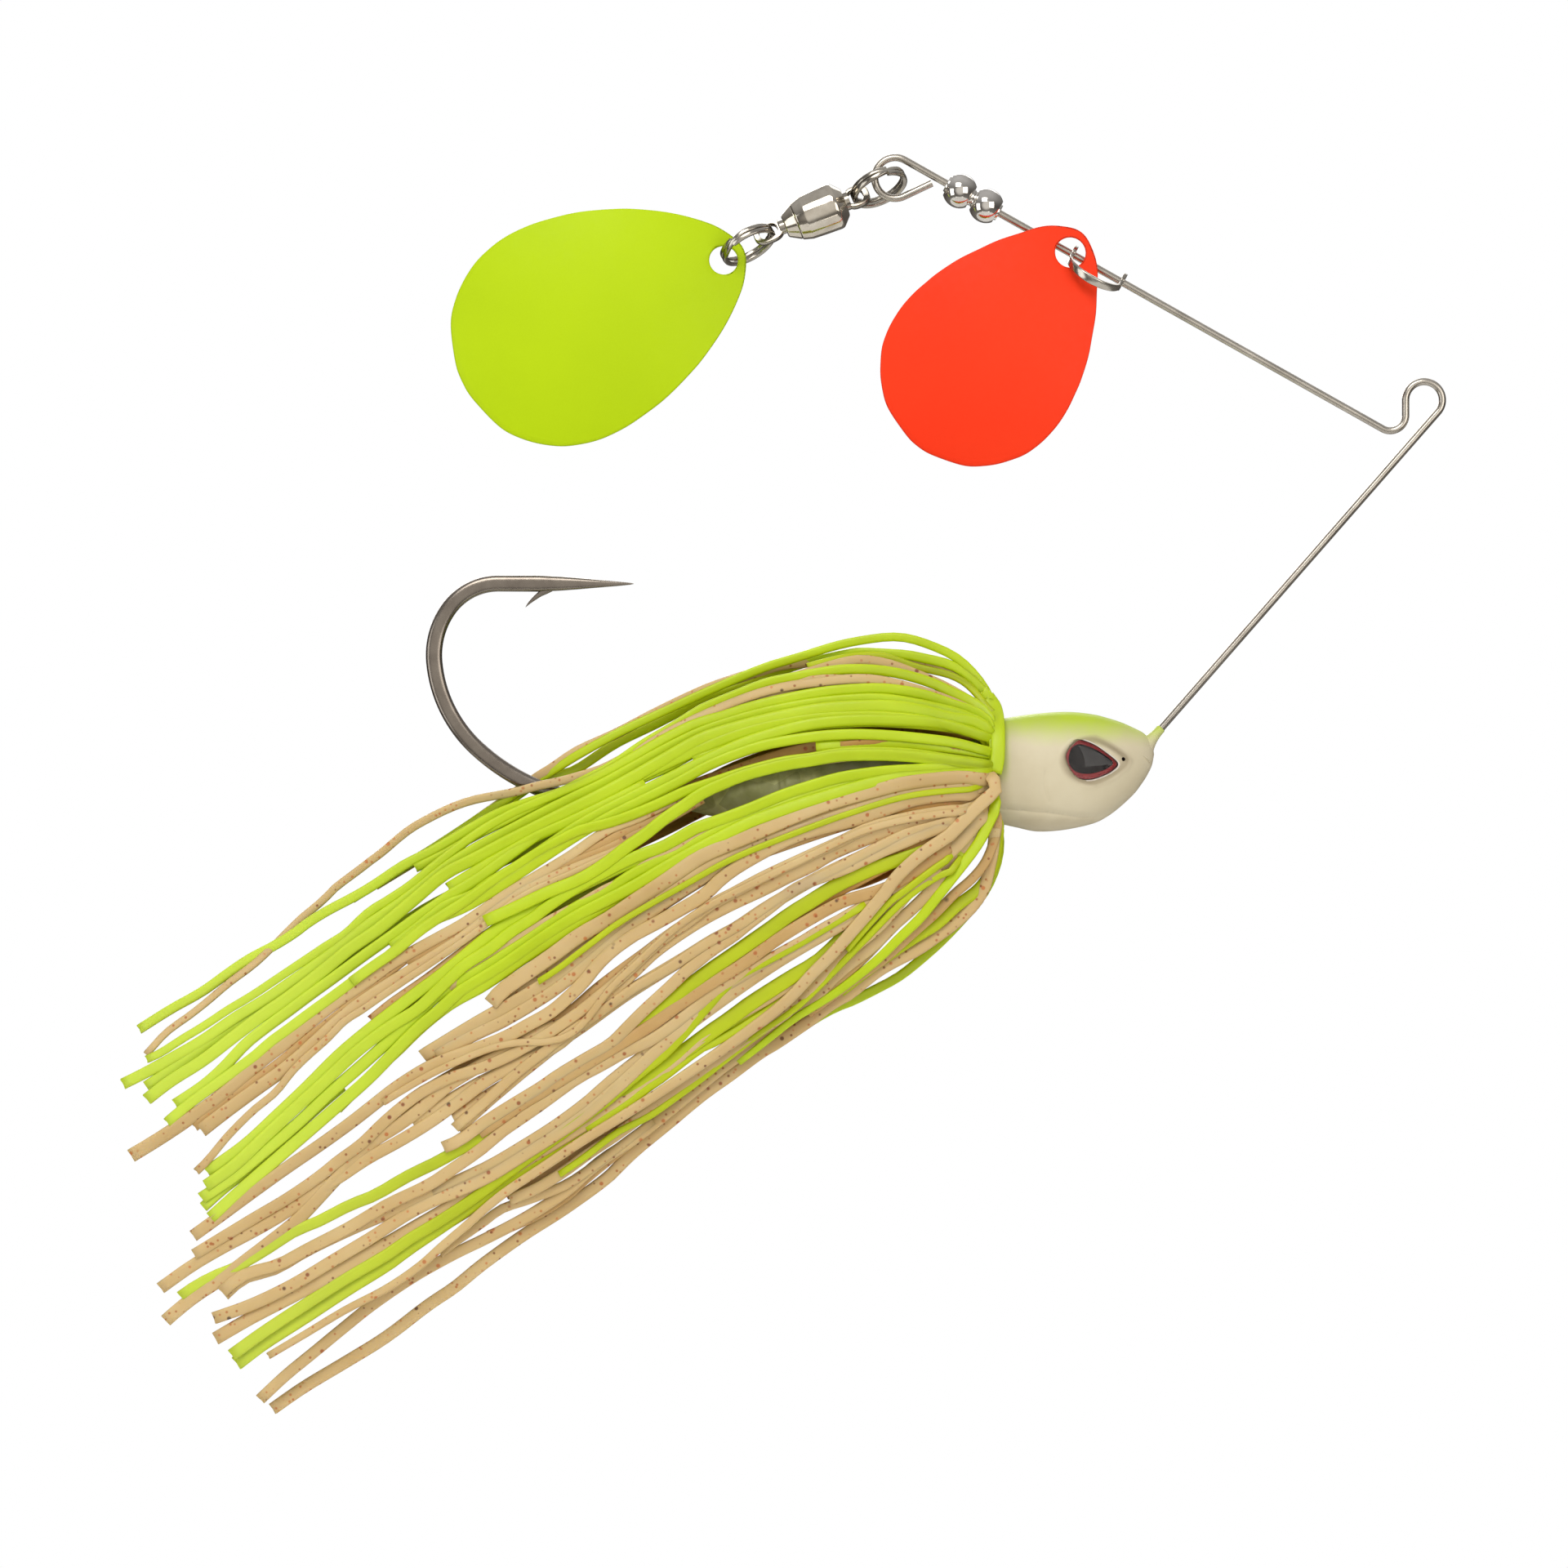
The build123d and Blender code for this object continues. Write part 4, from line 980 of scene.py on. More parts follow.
def blade(name, outline, near, far, hole, hole_r, hole_y, dish, mat, body, node, T=0.65):
    axis = np.array([near[0] - far[0], near[1] - far[1]])
    length = np.linalg.norm(axis)
    axis /= length
    cross = np.array([-axis[1], axis[0]])
    span = outline[-1][0] - outline[0][0]
    sc = length / span
    org = np.array(far) + axis * (-outline[0][0] * sc)
    pts = [np.array(far)] + [org + axis * t * sc + cross * w for t, w in outline[1:-1]] + [np.array(near)]
    pts += [org + axis * t * sc - cross * w for t, w in reversed(outline[1:-1])]
    # even out measured steps, then resample the rim
    rim = spline([(p[0], p[1], 0) for p in pts], 240, closed=True)[:, :2]
    for _ in range(6):
        rim = 0.5 * rim + 0.25 * (np.roll(rim, 1, 0) + np.roll(rim, -1, 0))
    hole = np.array(hole)
    n = len(rim)
    start = np.arctan2(*(rim - hole).T[::-1])
    hol = np.stack([hole[0] + hole_r * np.cos(start), hole[1] + hole_r * np.sin(start)], 1)
    half_l = length / 2
    big = (half_l ** 2 + dish ** 2) / (2 * dish)
    reach = np.linalg.norm(hole - org)
    top_y = hole_y - (big - math.sqrt(big ** 2 - reach ** 2))
    cy = top_y + big

    def surf(p, off):
        d2 = ((p - org) ** 2).sum(-1)
        R = big + off
        return cy - np.sqrt(R * R - d2)
    rows = []
    K = 36
    e = T / 2
    # front face from the hole's edge to the rim, round the edge, back face, round the hole
    ts = [k / K for k in range(K + 1)]
    bev = 0.18

    def ring(t, off, inset=0.0):
        p = hol + (rim - hol) * t
        if inset:
            d = (rim - hol)
            d = d / np.linalg.norm(d, axis=1)[:, None]
            p = p + d * inset
        y = surf(p, off)
        return np.stack([p[:, 0], y, p[:, 1]], 1)
    rows.append(ring(0, e - bev * 0.3, bev * 0.3))
    for t in ts:
        tt = t
        ins = bev if t == 0 else (-bev if t == 1 else 0)
        rows.append(ring(tt, e, ins))
    rows.append(ring(1, e - bev * 0.3, -bev * 0.3))
    rows.append(ring(1, e - bev, 0))
    rows.append(ring(1, -e + bev, 0))
    rows.append(ring(1, -e + bev * 0.3, -bev * 0.3))
    for t in reversed(ts):
        ins = bev if t == 0 else (-bev if t == 1 else 0)
        rows.append(ring(t, -e, ins))
    rows.append(ring(0, -e + bev * 0.3, bev * 0.3))
    rows.append(ring(0, -e + bev, 0))
    rows.append(ring(0, e - bev, 0))
    V = np.concatenate(rows)
    F = grid_faces(len(rows), n, True, True)
    return recalc(add_mesh(name, V, F, [mat], body=body, node=node, sharp=50))


blade("front_blade_painted", FRONT_OUT, (-41.98, 20.49), (-61.96, -5.83), (-43.38, 17.92), 1.88, -1.7, 2.4, M["orange"], "front_blade", "front_blade")
blade("rear_blade_painted", REAR_OUT, (-83.31, 18.59), (-117.75, 2.22), (-85.77, 17.1), 1.75, 0.0, 3.2, M["lime"], "rear_blade", "rear_blade")


# ================================================================== split rings
def ring_dirs(direction, lean):
    d = Vector((direction[0], 0, direction[1])).normalized()
    perp = Vector((-d.z, 0, d.x))
    tangent = Vector((0, -1, 0)) * math.cos(math.radians(lean)) + perp * math.sin(math.radians(lean))
    return d, tangent.normalized(), d.cross(tangent).normalized()


def coil_ring(name, at, direction, lean, node, body, start):
    """Two turns of flat-sided wire with a jog where one coil steps over the other."""
    d, tangent, axis = ring_dirs(direction, lean)
    c = Vector((at[0], 0, at[1])) - d * 3.3
    turns, n = 2.0, 220
    wire_a, wire_r = 0.57, 0.6
    pts = []
    for i in range(n + 1):
        t = i / n * turns
        # each coil lies flat, and steps across over a short arc
        step = sm(0.90, 1.10, np.array(t))
        off = -0.3 + 0.6 * float(step)
        a = math.radians(start) + t * 2 * math.pi
        p = c + (d * math.cos(a) + tangent * math.sin(a)) * 3.3 + axis * off
        pts.append(tuple(p))
    # section: N across the ring's plane (axis), B radial
    sec = rounded_rect(wire_a, wire_r, 0.14, 3)
    V, F = sweep(pts, sec, up=tuple(axis))
    return recalc(add_mesh(name, V, F, [M["ring"]], body=body, node=node, sharp=50))


coil_ring("front_split_ring_coiled", (-63.75, 27.42), (0.911, 0.411), 24.0, "front_split_ring", "front_ring", 62)
coil_ring("rear_split_ring_coiled", (-79.91, 20.63), (0.871, 0.492), 20.0, "rear_split_ring", "rear_ring", 118)

# ======================================================================= swivel
sw = math.radians(21.9)
e_dir, p_dir = Vector((math.cos(sw), 0, math.sin(sw))), Vector((-math.sin(sw), 0, math.cos(sw)))
put_s = basis((-78.29, 0, 21.28), e_dir, p_dir)
prof = soften([(1.52, 2.2), (1.52, 2.28), (1.62, 2.40), (2.75, 2.74), (4.6, 2.86), (6.5, 2.93), (6.85, 2.86), (7.12, 2.6), (7.9, 1.78), (7.97, 1.6), (7.97, 1.23), (6.9, 1.23), (6.9, 2.2)], 0.12, 4)
V, F = lathe(prof, 72, closed=True)
recalc(add_mesh("swivel_barrel_polished", [put_s(v) for v in V], F, [M["nickel"]], body="swivel_barrel", node="swivel_barrel", sharp=35))
prof = soften([(0, 0.92), (0, 1.35), (0.1, 1.48), (1.40, 2.24), (1.48, 2.22), (1.50, 2.12), (1.56, 2.12), (2.3, 2.12), (2.3, 0.92)], 0.06, 3)
V, F = lathe(prof, 72, closed=True)
recalc(add_mesh("swivel_cone_polished", [put_s(v) for v in V], F, [M["nickel"]], body="swivel_barrel", node="swivel_cone_cap", sharp=35))


def stem(name, x_neck0, x_neck1, neck_r, head, x_tab0, x_tab1, width, slot0, slot1, slot_w, lean, node, body, flare):
    """Round neck, head inside the barrel, and a hammered-flat eye with an oblong slot."""
    parts = []
    V, F = lathe(soften([(x_neck0, 0), (x_neck0, neck_r * 0.9), (x_neck0 + 0.1, neck_r), (x_neck1, neck_r)] + head, 0.08, 3), 40)
    parts.append((V, F))
    # flattened eye: outline and slot as matching rings, with rounded edges
    n = 96
    t = 0.5

    def oval(x0, x1, w, m):
        out = []
        L, r = abs(x1 - x0) / 2, w / 2
        cx = (x0 + x1) / 2
        for k in range(m):
            a = 2 * math.pi * k / m
            c_, s_ = math.cos(a), math.sin(a)
            q = 2 / 2.6
            out.append((cx + L * math.copysign(abs(c_) ** q, c_), r * math.copysign(abs(s_) ** q, s_)))
        return out
    out_, in_ = oval(x_tab0, x_tab1, width, n), oval(slot0, slot1, slot_w, n)
    rows = []
    bev = 0.14
    for f, y in ((0.0, t - bev), (0.12, t), (0.5, t + 0.02), (0.86, t), (1.0, t - bev), (1.0, -t + bev), (0.86, -t), (0.5, -t - 0.02), (0.12, -t), (0.0, -t + bev)):
        rows.append([(a[0] + (b[0] - a[0]) * f, y, a[1] + (b[1] - a[1]) * f) for a, b in zip(in_, out_)])
    V = [p for r_ in rows for p in r_]
    F = grid_faces(len(rows), n, True, True)
    ca, sa = math.cos(math.radians(lean)), math.sin(math.radians(lean))
    V = [(x, y * ca - z * sa, y * sa + z * ca) for x, y, z in V]
    parts.append((V, F))
    V, F = merge(*parts)
    return recalc(add_mesh(name, [put_s(v) for v in V], F, [M["stem"]], body=body, node=node, sharp=45))


stem("swivel_front_eye", 8.45, 5.9, 1.15, [(5.88, 2.05), (5.1, 2.05), (4.9, 1.8), (4.9, 0)], 8.0, 11.1, 2.8, 8.34, 10.3, 1.84, -24.0, "swivel_front_stem", "swivel_front", 0)
stem("swivel_rear_eye", -0.72, 2.3, 0.9, [(2.32, 1.7), (2.95, 1.7), (3.15, 1.4), (3.15, 0)], -4.0, -0.25, 2.7, -3.3, -0.95, 1.72, -20.0, "swivel_rear_stem", "swivel_barrel", 0)
for node in ("swivel_bearing_balls", "swivel_thrust_washer"):
    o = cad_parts[node]
    for i in range(len(o.material_slots)):
        o.material_slots[i].material = M["nickel"]

# ======================================================================== floor
n = 96
V = [(-80, 0, 0)]
for r in (120, 240, 300):
    V += [(-80 + r * math.cos(2 * math.pi * i / n), r * math.sin(2 * math.pi * i / n), 0) for i in range(n)]
V = [(x, y, -262.0) for x, y, _ in V]
F = [(0, 1 + i, 1 + (i + 1) % n) for i in range(n)]
for k in range(2):
    F += [(1 + k * n + i, 1 + (k + 1) * n + i, 1 + (k + 1) * n + (i + 1) % n, 1 + k * n + (i + 1) % n) for i in range(n)]
me = bpy.data.meshes.new("floor")
me.from_pydata([(x * MM, y * MM, z * MM) for x, y, z in V], [], F)
floor = bpy.data.objects.new("floor", me)
scene.collection.objects.link(floor)
m = Mat("floor_paper")
n1 = m.noise(m.coords(), 40.0, 4.0, 0.5)
m.set(Base_Color=m.ramp(n1, [(0.3, (0.84, 0.84, 0.83, 1)), (0.7, (0.88, 0.88, 0.87, 1))]), Roughness=0.9)
me.materials.append(m.m)

# ====================================================================== strands
# Each strand: colour, width in mm at root and tip, layer (larger lies further out), side (-1 viewer's left, 1 right),
# mirrored on the other side or not, and its course in the lure's own plane as (x, z) readings on a 10-per-mm grid.
STRANDS = """
L 1.08 1.08 0 1 0 | 1218,872 1210,850 1198,832 1184,816 1164,801 1128,786 1100,780 1069,782 1030,789 996,799 977,805 940,816 900,832 850,854 800,877 750,901 700,929 664,952 620,979 560,1019 495,1061 431,1101
S 1.30 1.30 1 1 0 | 1216,868 1201,845 1184,828 1164,817 1140,810 1111,804 1079,802 1050,801 1018,806 999,809 977,812 957,814 933,821 908,829 884,837 860,846 809,870 753,899 707,920 676,941 655,954 610,986 540,1034 459,1084
L 1.19 1.19 0 1 0 | 1216,866 1201,843 1184,826 1164,814 1140,808 1111,802 1079,800 1050,799 1018,805 999,809 977,814 940,828 921,836 884,849 860,857 804,886 753,911 702,944 664,954 620,983 560,1021 499,1058
D 0.86 0.86 0 -1 1 | 1216,876 1201,856 1184,838 1164,827 1140,821 1120,816 1103,810 1091,806 1075,802 1050,803 1020,808 989,816
D 1.08 1.08 0 -1 1 | 1203,850 1213,857 1219,868 1222,882 1221,897
L 1.73 1.73 1 -1 1 | 1208,852 1217,864 1221,880 1222,898 1222,915 1221,932 1218,946
L 1.40 1.40 0 -1 1 | 1200,868 1210,884 1216,900 1218,916 1218,932 1214,946
S 1.19 1.19 0 -1 1 | 1214,882 1201,867 1176,851 1152,838 1128,828 1103,818 1079,811 1050,808 1018,815 1001,820 975,828 940,838 901,853 860,869 826,890 786,914
L 1.30 1.19 1 -1 1 | 1215,886 1201,866 1164,847 1140,836 1103,825 1067,820 1030,820 996,825 969,830 940,836 921,843 901,851 884,858 860,868 826,889 787,912 749,938 711,958 685,971 646,983 608,997 560,1024 531,1041 495,1059 459,1083 432,1099 405,1113 380,1128 360,1143 334,1159 307,1173 280,1191 248,1214 209,1236 171,1260
S 1.19 1.19 0 -1 1 | 1205,874 1140,852 1100,843 1069,838 1030,832 996,833 974,840 945,849 908,857 884,867 862,877 820,901 779,926
S 1.30 0.86 1 -1 1 | 1208,878 1140,850 1067,832 996,836 940,846 884,866 826,893 780,919 736,942 716,948 685,957 659,962 634,969 608,974 582,979 557,987 531,999 504,1014 486,1028 470,1042 450,1057 432,1071 414,1084 402,1096 388,1109 373,1121 359,1134 341,1152 325,1168 307,1184 280,1204 253,1227 230,1245 205,1263 188,1281 179,1291
L 1.40 0.97 1 -1 1 | 1214,892 1201,875 1164,862 1128,850 1091,844 1067,843 1018,846 969,854 921,865 884,877 852,886 813,905 775,927 736,948 698,965 659,982 621,999 582,1022 545,1050 522,1068 504,1083 477,1101 450,1118 424,1143 406,1154 388,1166 361,1184 334,1202 307,1220 280,1236 250,1256 225,1271 197,1289 180,1297
L 1.40 1.40 0 -1 1 | 1213,897 1190,880 1150,868 1091,857 1055,856 1006,860 957,868 908,880 860,896 820,915 780,937 740,959 700,978 660,998 620,1019 582,1039 545,1063 510,1091 480,1113 450,1133 420,1157 390,1179 360,1200 325,1224 287,1247 248,1274 210,1296 179,1313 151,1327
L 1.62 1.51 1 -1 1 | 1213,900 1198,884 1164,879 1128,870 1091,865 1055,865 1006,868 957,877 908,889 860,904 820,926 780,949 740,971 700,991 660,1011 620,1031 582,1051 545,1070 510,1099 484,1121 459,1141 432,1159 405,1181 380,1201 351,1223 320,1244 287,1269 248,1299 210,1323 180,1346
L 1.40 1.40 0 -1 1 | 1215,905 1190,897 1164,889 1128,882 1091,878 1055,877 1006,879 969,884 933,891 896,902 860,916 839,925 800,943 762,961 723,981 685,1004 646,1031 608,1059 582,1078 553,1095 539,1105 513,1122 495,1135 477,1148 450,1167 424,1186 405,1200 380,1218 352,1239 322,1261 299,1280 274,1307 248,1330 215,1352
L 1.30 1.30 1 -1 1 | 1217,922 1201,918 1176,911 1152,907 1116,903 1079,900 1042,899 1006,901 969,906 933,913 908,921 884,930 860,941 830,958 790,978 750,998 710,1021 670,1047 634,1071 600,1093 569,1111 545,1121 531,1127 504,1145 479,1168 459,1182 432,1202 405,1222 380,1240 352,1261 330,1277 312,1293 274,1321 235,1349 205,1374
L 1.51 1.40 0 -1 1 | 1200,900 1150,886 1091,882 1040,882 990,887 950,897 910,910 870,928 830,948 790,968 750,988 710,1010 670,1037 634,1061 600,1081 575,1099 553,1105 530,1121 505,1141 479,1160
L 1.30 1.30 2 -1 1 | 1219,938 1189,933 1152,928 1116,923 1079,921 1030,922 994,928 962,932 933,939 908,946 884,954 860,962 839,969 800,987 762,1002 736,1010 711,1016 685,1029 660,1043 634,1060 608,1076 575,1100 540,1122 511,1142 485,1164 460,1181 431,1202
L 1.51 1.51 2 -1 1 | 1220,940 1189,935 1152,930 1116,926 1079,924 1030,925 994,931 962,936 933,943 908,950 884,960 860,971 840,985 813,1003 790,1022 769,1036 739,1059 709,1077 672,1092 634,1110 594,1128
S 0.76 1.73 0 -1 1 | 1216,944 1189,938 1152,930 1116,925 1079,923 1030,924 994,930 962,934 933,941 908,948 884,957 860,966 839,975 813,987 790,998 775,1005 747,1015 726,1028 698,1048 660,1071 621,1094 595,1112 567,1131 531,1151 504,1166 477,1182 450,1202 424,1219 405,1232 380,1252 351,1276 312,1306 274,1339 230,1371 197,1393 161,1415
S 0.76 1.73 0 -1 1 | 1214,944 1152,934 1079,925 994,933 933,944 884,960 845,983 813,1005 790,1021 762,1039 739,1049 709,1061 675,1075 640,1092 610,1113 583,1135 562,1151 531,1171 495,1193 468,1210 440,1229 415,1249 389,1273 351,1307 312,1335 274,1363 247,1384
S 0.65 0.97 1 -1 1 | 1214,942 1079,922 933,941 845,983 790,1025 709,1065 640,1097 583,1141 531,1177 495,1201 460,1225 440,1239 422,1250 402,1271 376,1294 356,1314 338,1337 310,1360 279,1391 256,1419 241,1434
L 1.51 1.51 0 -1 1 | 1218,943 1177,941 1128,944 1079,947 1030,954 994,964 957,976 921,991 884,1005 848,1019 813,1038 778,1053 744,1069 709,1086 675,1104 645,1118 619,1131 593,1150 568,1171 537,1196 515,1212 484,1236 453,1260 415,1292 376,1331 338,1367 300,1402 254,1435
L 1.40 1.51 1 -1 1 | 1220,942 1177,939 1128,942 1079,945 1030,952 994,962 957,974 921,989 884,1003 860,1011 848,1016 813,1036 778,1049 744,1066 709,1085 675,1107 650,1126 627,1140 601,1161 570,1181 545,1204 511,1236 479,1256 440,1285 402,1320 364,1355 325,1391 287,1427 252,1452
L 1.40 1.51 0 -1 1 | 1216,944 1152,946 1103,949 1067,956 1030,964 994,974 957,988 921,1002 884,1016 850,1034 829,1048 801,1058 769,1074 737,1097 709,1109 678,1129 650,1149 614,1172 590,1187 570,1198 552,1208 535,1219 515,1238 497,1255 479,1272 440,1307 402,1340 364,1376 325,1409 287,1440 247,1467
S 0.76 1.19 0 -1 1 | 1214,945 1152,944 1079,948 1030,956 994,966 957,979 921,995 884,1011 850,1028 820,1043 790,1059 762,1078 736,1091 711,1106 685,1120 660,1133 634,1148 604,1166 575,1184 560,1197 556,1213
L 1.51 1.51 1 -1 1 | 1214,946 1152,949 1103,952 1067,959 1030,969 994,980 969,988 933,1001 917,1007 882,1025 848,1043 813,1063 778,1084 744,1102 709,1120 675,1141 640,1165 614,1183 588,1199 562,1215 537,1238 511,1260 485,1286 453,1319 415,1353 376,1387 338,1420 299,1454 258,1491
L 1.30 1.30 0 -1 1 | 1212,948 1152,951 1103,955 1067,962 1030,972 994,983 957,996 917,1017 882,1034 841,1055 801,1075 767,1095 732,1116 686,1146 640,1175 610,1196 585,1212 560,1225 537,1241 511,1263 491,1283 453,1318 414,1357
S 1.73 1.94 1 -1 1 | 1206,955 1177,952 1140,955 1104,960 1067,969 1030,979 994,991 957,1006 921,1022 884,1037 860,1048 840,1061 813,1080 778,1103 744,1126 709,1146 675,1171 640,1195 615,1213 601,1229
S 1.62 1.84 0 -1 1 | 1197,962 1152,965 1116,970 1079,979 1043,991 1006,1004 969,1017 933,1031 896,1046 860,1063 836,1081 801,1105 767,1131 732,1159 698,1185 663,1208 640,1222 613,1237 588,1251 550,1274 518,1294
S 1.40 1.51 0 -1 1 | 1196,966 1152,969 1100,976 1043,997 990,1012 940,1030 893,1055 850,1082 813,1106 778,1131 744,1159 711,1187 681,1211 650,1231 614,1252 588,1264 560,1278 534,1291
D 0.76 0.76 2 -1 1 | 1190,966 1116,974 1043,995 969,1022 896,1052 836,1085 788,1112 755,1132 732,1149 702,1172 681,1188 659,1202
S 1.73 1.51 1 -1 1 | 1190,972 1152,974 1116,980 1079,993 1043,1005 1006,1014 969,1026 937,1042 901,1063 880,1079 861,1097 831,1115 801,1132 778,1144 751,1163 732,1181 716,1201 699,1218 675,1239 650,1253 625,1267 600,1278 575,1287 545,1298 519,1310 486,1331 460,1351 428,1376 389,1404 351,1430 312,1458 274,1486 237,1513
S 0.97 0.86 2 -1 1 | 1180,993 1116,1002 1055,1018 994,1047 930,1078 870,1108 824,1139 778,1181 745,1213 722,1244 696,1268 665,1276 640,1276 614,1280 588,1288 560,1300 530,1314 500,1331 469,1350
S 1.40 1.40 1 -1 1 | 1187,990 1152,994 1116,1000 1079,1009 1055,1017 1034,1028 994,1046 955,1064 930,1076 893,1096 870,1108 847,1126 824,1141 801,1159 778,1181 753,1204 739,1215 716,1234 698,1247 675,1263 650,1278 627,1291 601,1303 575,1312 550,1320 530,1330 515,1338 500,1349 485,1361 468,1376 455,1389 440,1403 415,1421 389,1442 351,1468 312,1491 274,1514 238,1536
S 1.62 1.62 0 -1 1 | 1178,998 1140,1004 1104,1013 1067,1025 1045,1034 1019,1045 994,1060 968,1072 937,1088 894,1108 860,1126 830,1145 801,1166 778,1188 758,1207 735,1227 705,1247 665,1263 627,1285 588,1305 550,1328 519,1354 500,1369 486,1379 460,1395 440,1411 425,1429 410,1445 389,1468 364,1494 333,1519 299,1545 270,1567 248,1581 225,1598 203,1617
S 1.30 1.30 1 -1 1 | 1170,1003 1140,1012 1109,1021 1084,1033 1058,1046 1032,1060 1000,1076 975,1088 955,1100 929,1117 901,1136 871,1152 841,1171 820,1185 801,1196 778,1209 762,1220 740,1236 715,1253 690,1269 665,1289 640,1308 620,1325 601,1343 580,1361 557,1381
S 1.51 1.51 0 -1 1 | 1165,1008 1109,1022 1058,1047 1000,1075 955,1101 929,1117 901,1136 871,1152 841,1171 801,1195 762,1219 730,1241 705,1261 678,1283 640,1300 601,1320 563,1348 524,1376 486,1399 460,1413 440,1425 415,1442 384,1460 351,1484 312,1507 274,1527 235,1550 197,1577
S 1.40 1.51 1 -1 1 | 1165,1010 1137,1019 1109,1031 1084,1041 1058,1053 1032,1065 1007,1074 984,1083 965,1094 945,1110 917,1131 900,1145 891,1151 866,1168 850,1182 840,1189 831,1198 813,1215 790,1236 767,1259 748,1278 721,1294 686,1315 663,1331 640,1345 614,1361 588,1378 563,1396 543,1405
D 1.94 1.30 0 -1 1 | 1150,1036 1109,1050 1071,1063 1045,1074 1019,1087 994,1103 968,1119 943,1137 917,1155 891,1173 866,1190 836,1213 815,1231 797,1248 778,1263 762,1277 742,1287 716,1298 703,1308 678,1332 640,1363 601,1386 563,1407 537,1422 498,1441 460,1463 428,1476 389,1496 364,1506 343,1519 320,1534 290,1551 263,1562 240,1574 221,1587
W 1.51 1.51 1 -1 1 | 1160,1040 1120,1068 1084,1088 1058,1096 1032,1104 1007,1117 981,1132 955,1148 930,1166 904,1184 878,1200 859,1212 825,1235 801,1253 767,1274 732,1295 698,1316 663,1338 640,1351 614,1369 587,1387
S 1.51 1.51 1 -1 1 | 1150,1062 1110,1088 1060,1108 1035,1123 1007,1138 981,1154 955,1168 930,1183 904,1199 878,1214 859,1228 836,1246 813,1263 790,1277 765,1288 739,1303 709,1319 686,1335 663,1352 640,1368 614,1386 588,1408 555,1431 530,1448 511,1458 473,1476 428,1503 376,1530 340,1549 299,1561 272,1582
S 1.51 1.51 0 -1 1 | 1140,1070 1060,1112 1007,1144 955,1172 904,1203 859,1237 836,1255 806,1276 788,1296 765,1315 742,1335 716,1357 678,1384 640,1408 601,1431 563,1449 524,1465 486,1481 428,1506 376,1531 338,1553 299,1565 275,1585
S 1.62 1.51 1 -1 1 | 1140,1074 1060,1116 955,1176 859,1243 806,1285 765,1323 742,1343 716,1365 678,1391 640,1415 610,1434 590,1445 557,1460 540,1466 500,1486 457,1514 407,1544 357,1574 307,1598 262,1614
S 1.62 1.62 0 -1 1 | 1050,1135 999,1183 943,1220 871,1262 801,1319 755,1351 716,1377 690,1393 640,1423 600,1448 557,1474 507,1503 457,1532 407,1561 357,1588 307,1614 264,1639
D 1.30 1.51 1 -1 1 | 1060,1107 981,1153 930,1180 904,1195 886,1210 871,1227 848,1253 829,1274 811,1292 790,1308 767,1327 744,1347 729,1358 691,1386 652,1414 614,1442 575,1471 537,1496 500,1518 473,1537 423,1566 373,1598 323,1631 284,1659
D 1.94 1.84 0 -1 1 | 1040,1138 1020,1159 999,1178 968,1197 943,1213 917,1230 893,1248 871,1263 848,1280 825,1297 801,1318 778,1336 755,1354 729,1372 691,1398 652,1425 614,1451 575,1477 537,1503 500,1528 473,1548 423,1579 373,1612 323,1644 290,1669
D 1.08 0.97 1 -1 1 | 1014,1175 985,1205 955,1226 917,1252 878,1275 859,1284 836,1301 813,1319 790,1335 767,1353 745,1367 719,1384
S 1.73 0.86 3 -1 1 | 1212,950 1221,957 1218,969 1201,984 1184,1001 1160,1025 1147,1033 1122,1051 1096,1076 1084,1093 1063,1118 1043,1141 1020,1167 994,1193 973,1216 950,1237 917,1262 878,1290 859,1303 825,1326 790,1349 755,1371 716,1395 680,1419 650,1439 620,1459 595,1479 573,1499 540,1527 513,1551 473,1578 423,1604 373,1634 329,1660
S 1.62 1.40 1 -1 1 | 1206,996 1199,1003 1181,1026 1160,1047 1135,1070 1112,1093 1091,1118 1071,1139 1045,1160 1020,1183 999,1203 978,1226 953,1247 917,1270 878,1298 840,1327 800,1356 760,1386 720,1413 690,1435 655,1456 624,1469
D 0.86 0.86 2 -1 1 | 1160,1052 1130,1074 1109,1090 1091,1103 1071,1124 1053,1144 1037,1163
S 1.51 1.40 0 -1 1 | 1212,1005 1190,1030 1165,1052 1150,1078 1140,1090 1117,1113 1091,1136 1071,1157 1045,1177 1020,1198 1004,1216 984,1236 955,1257 927,1277 890,1303 860,1327 819,1361 780,1392 742,1417 723,1432 690,1461 640,1493 590,1519 557,1535 507,1563 457,1597 423,1624 383,1657 350,1684 319,1713
D 0.86 0.86 2 -1 1 | 1170,1060 1112,1098 1045,1165 978,1231 917,1275 860,1320 819,1350 793,1368 755,1387 716,1417 685,1438
W 1.30 1.30 0 -1 1 | 1210,975 1195,1000 1172,1022 1148,1045 1120,1068 1090,1090 1057,1111
L 1.51 0.86 2 -1 1 | 1219,978 1217,995 1209,1011 1199,1031 1184,1052 1166,1075 1148,1098 1127,1124 1101,1149 1078,1172 1053,1193 1027,1213 999,1231 973,1247 950,1265 925,1285 904,1301
W 1.19 1.19 1 -1 1 | 1221,1000 1221,1016 1214,1039 1204,1060 1186,1080 1168,1095 1148,1116 1122,1139 1096,1162 1075,1180 1050,1197 1020,1219 989,1241
D 1.51 1.40 0 -1 1 | 1222,1010 1220,1040 1214,1065 1199,1088 1173,1108 1148,1131 1122,1147 1090,1168 1060,1190 1029,1214
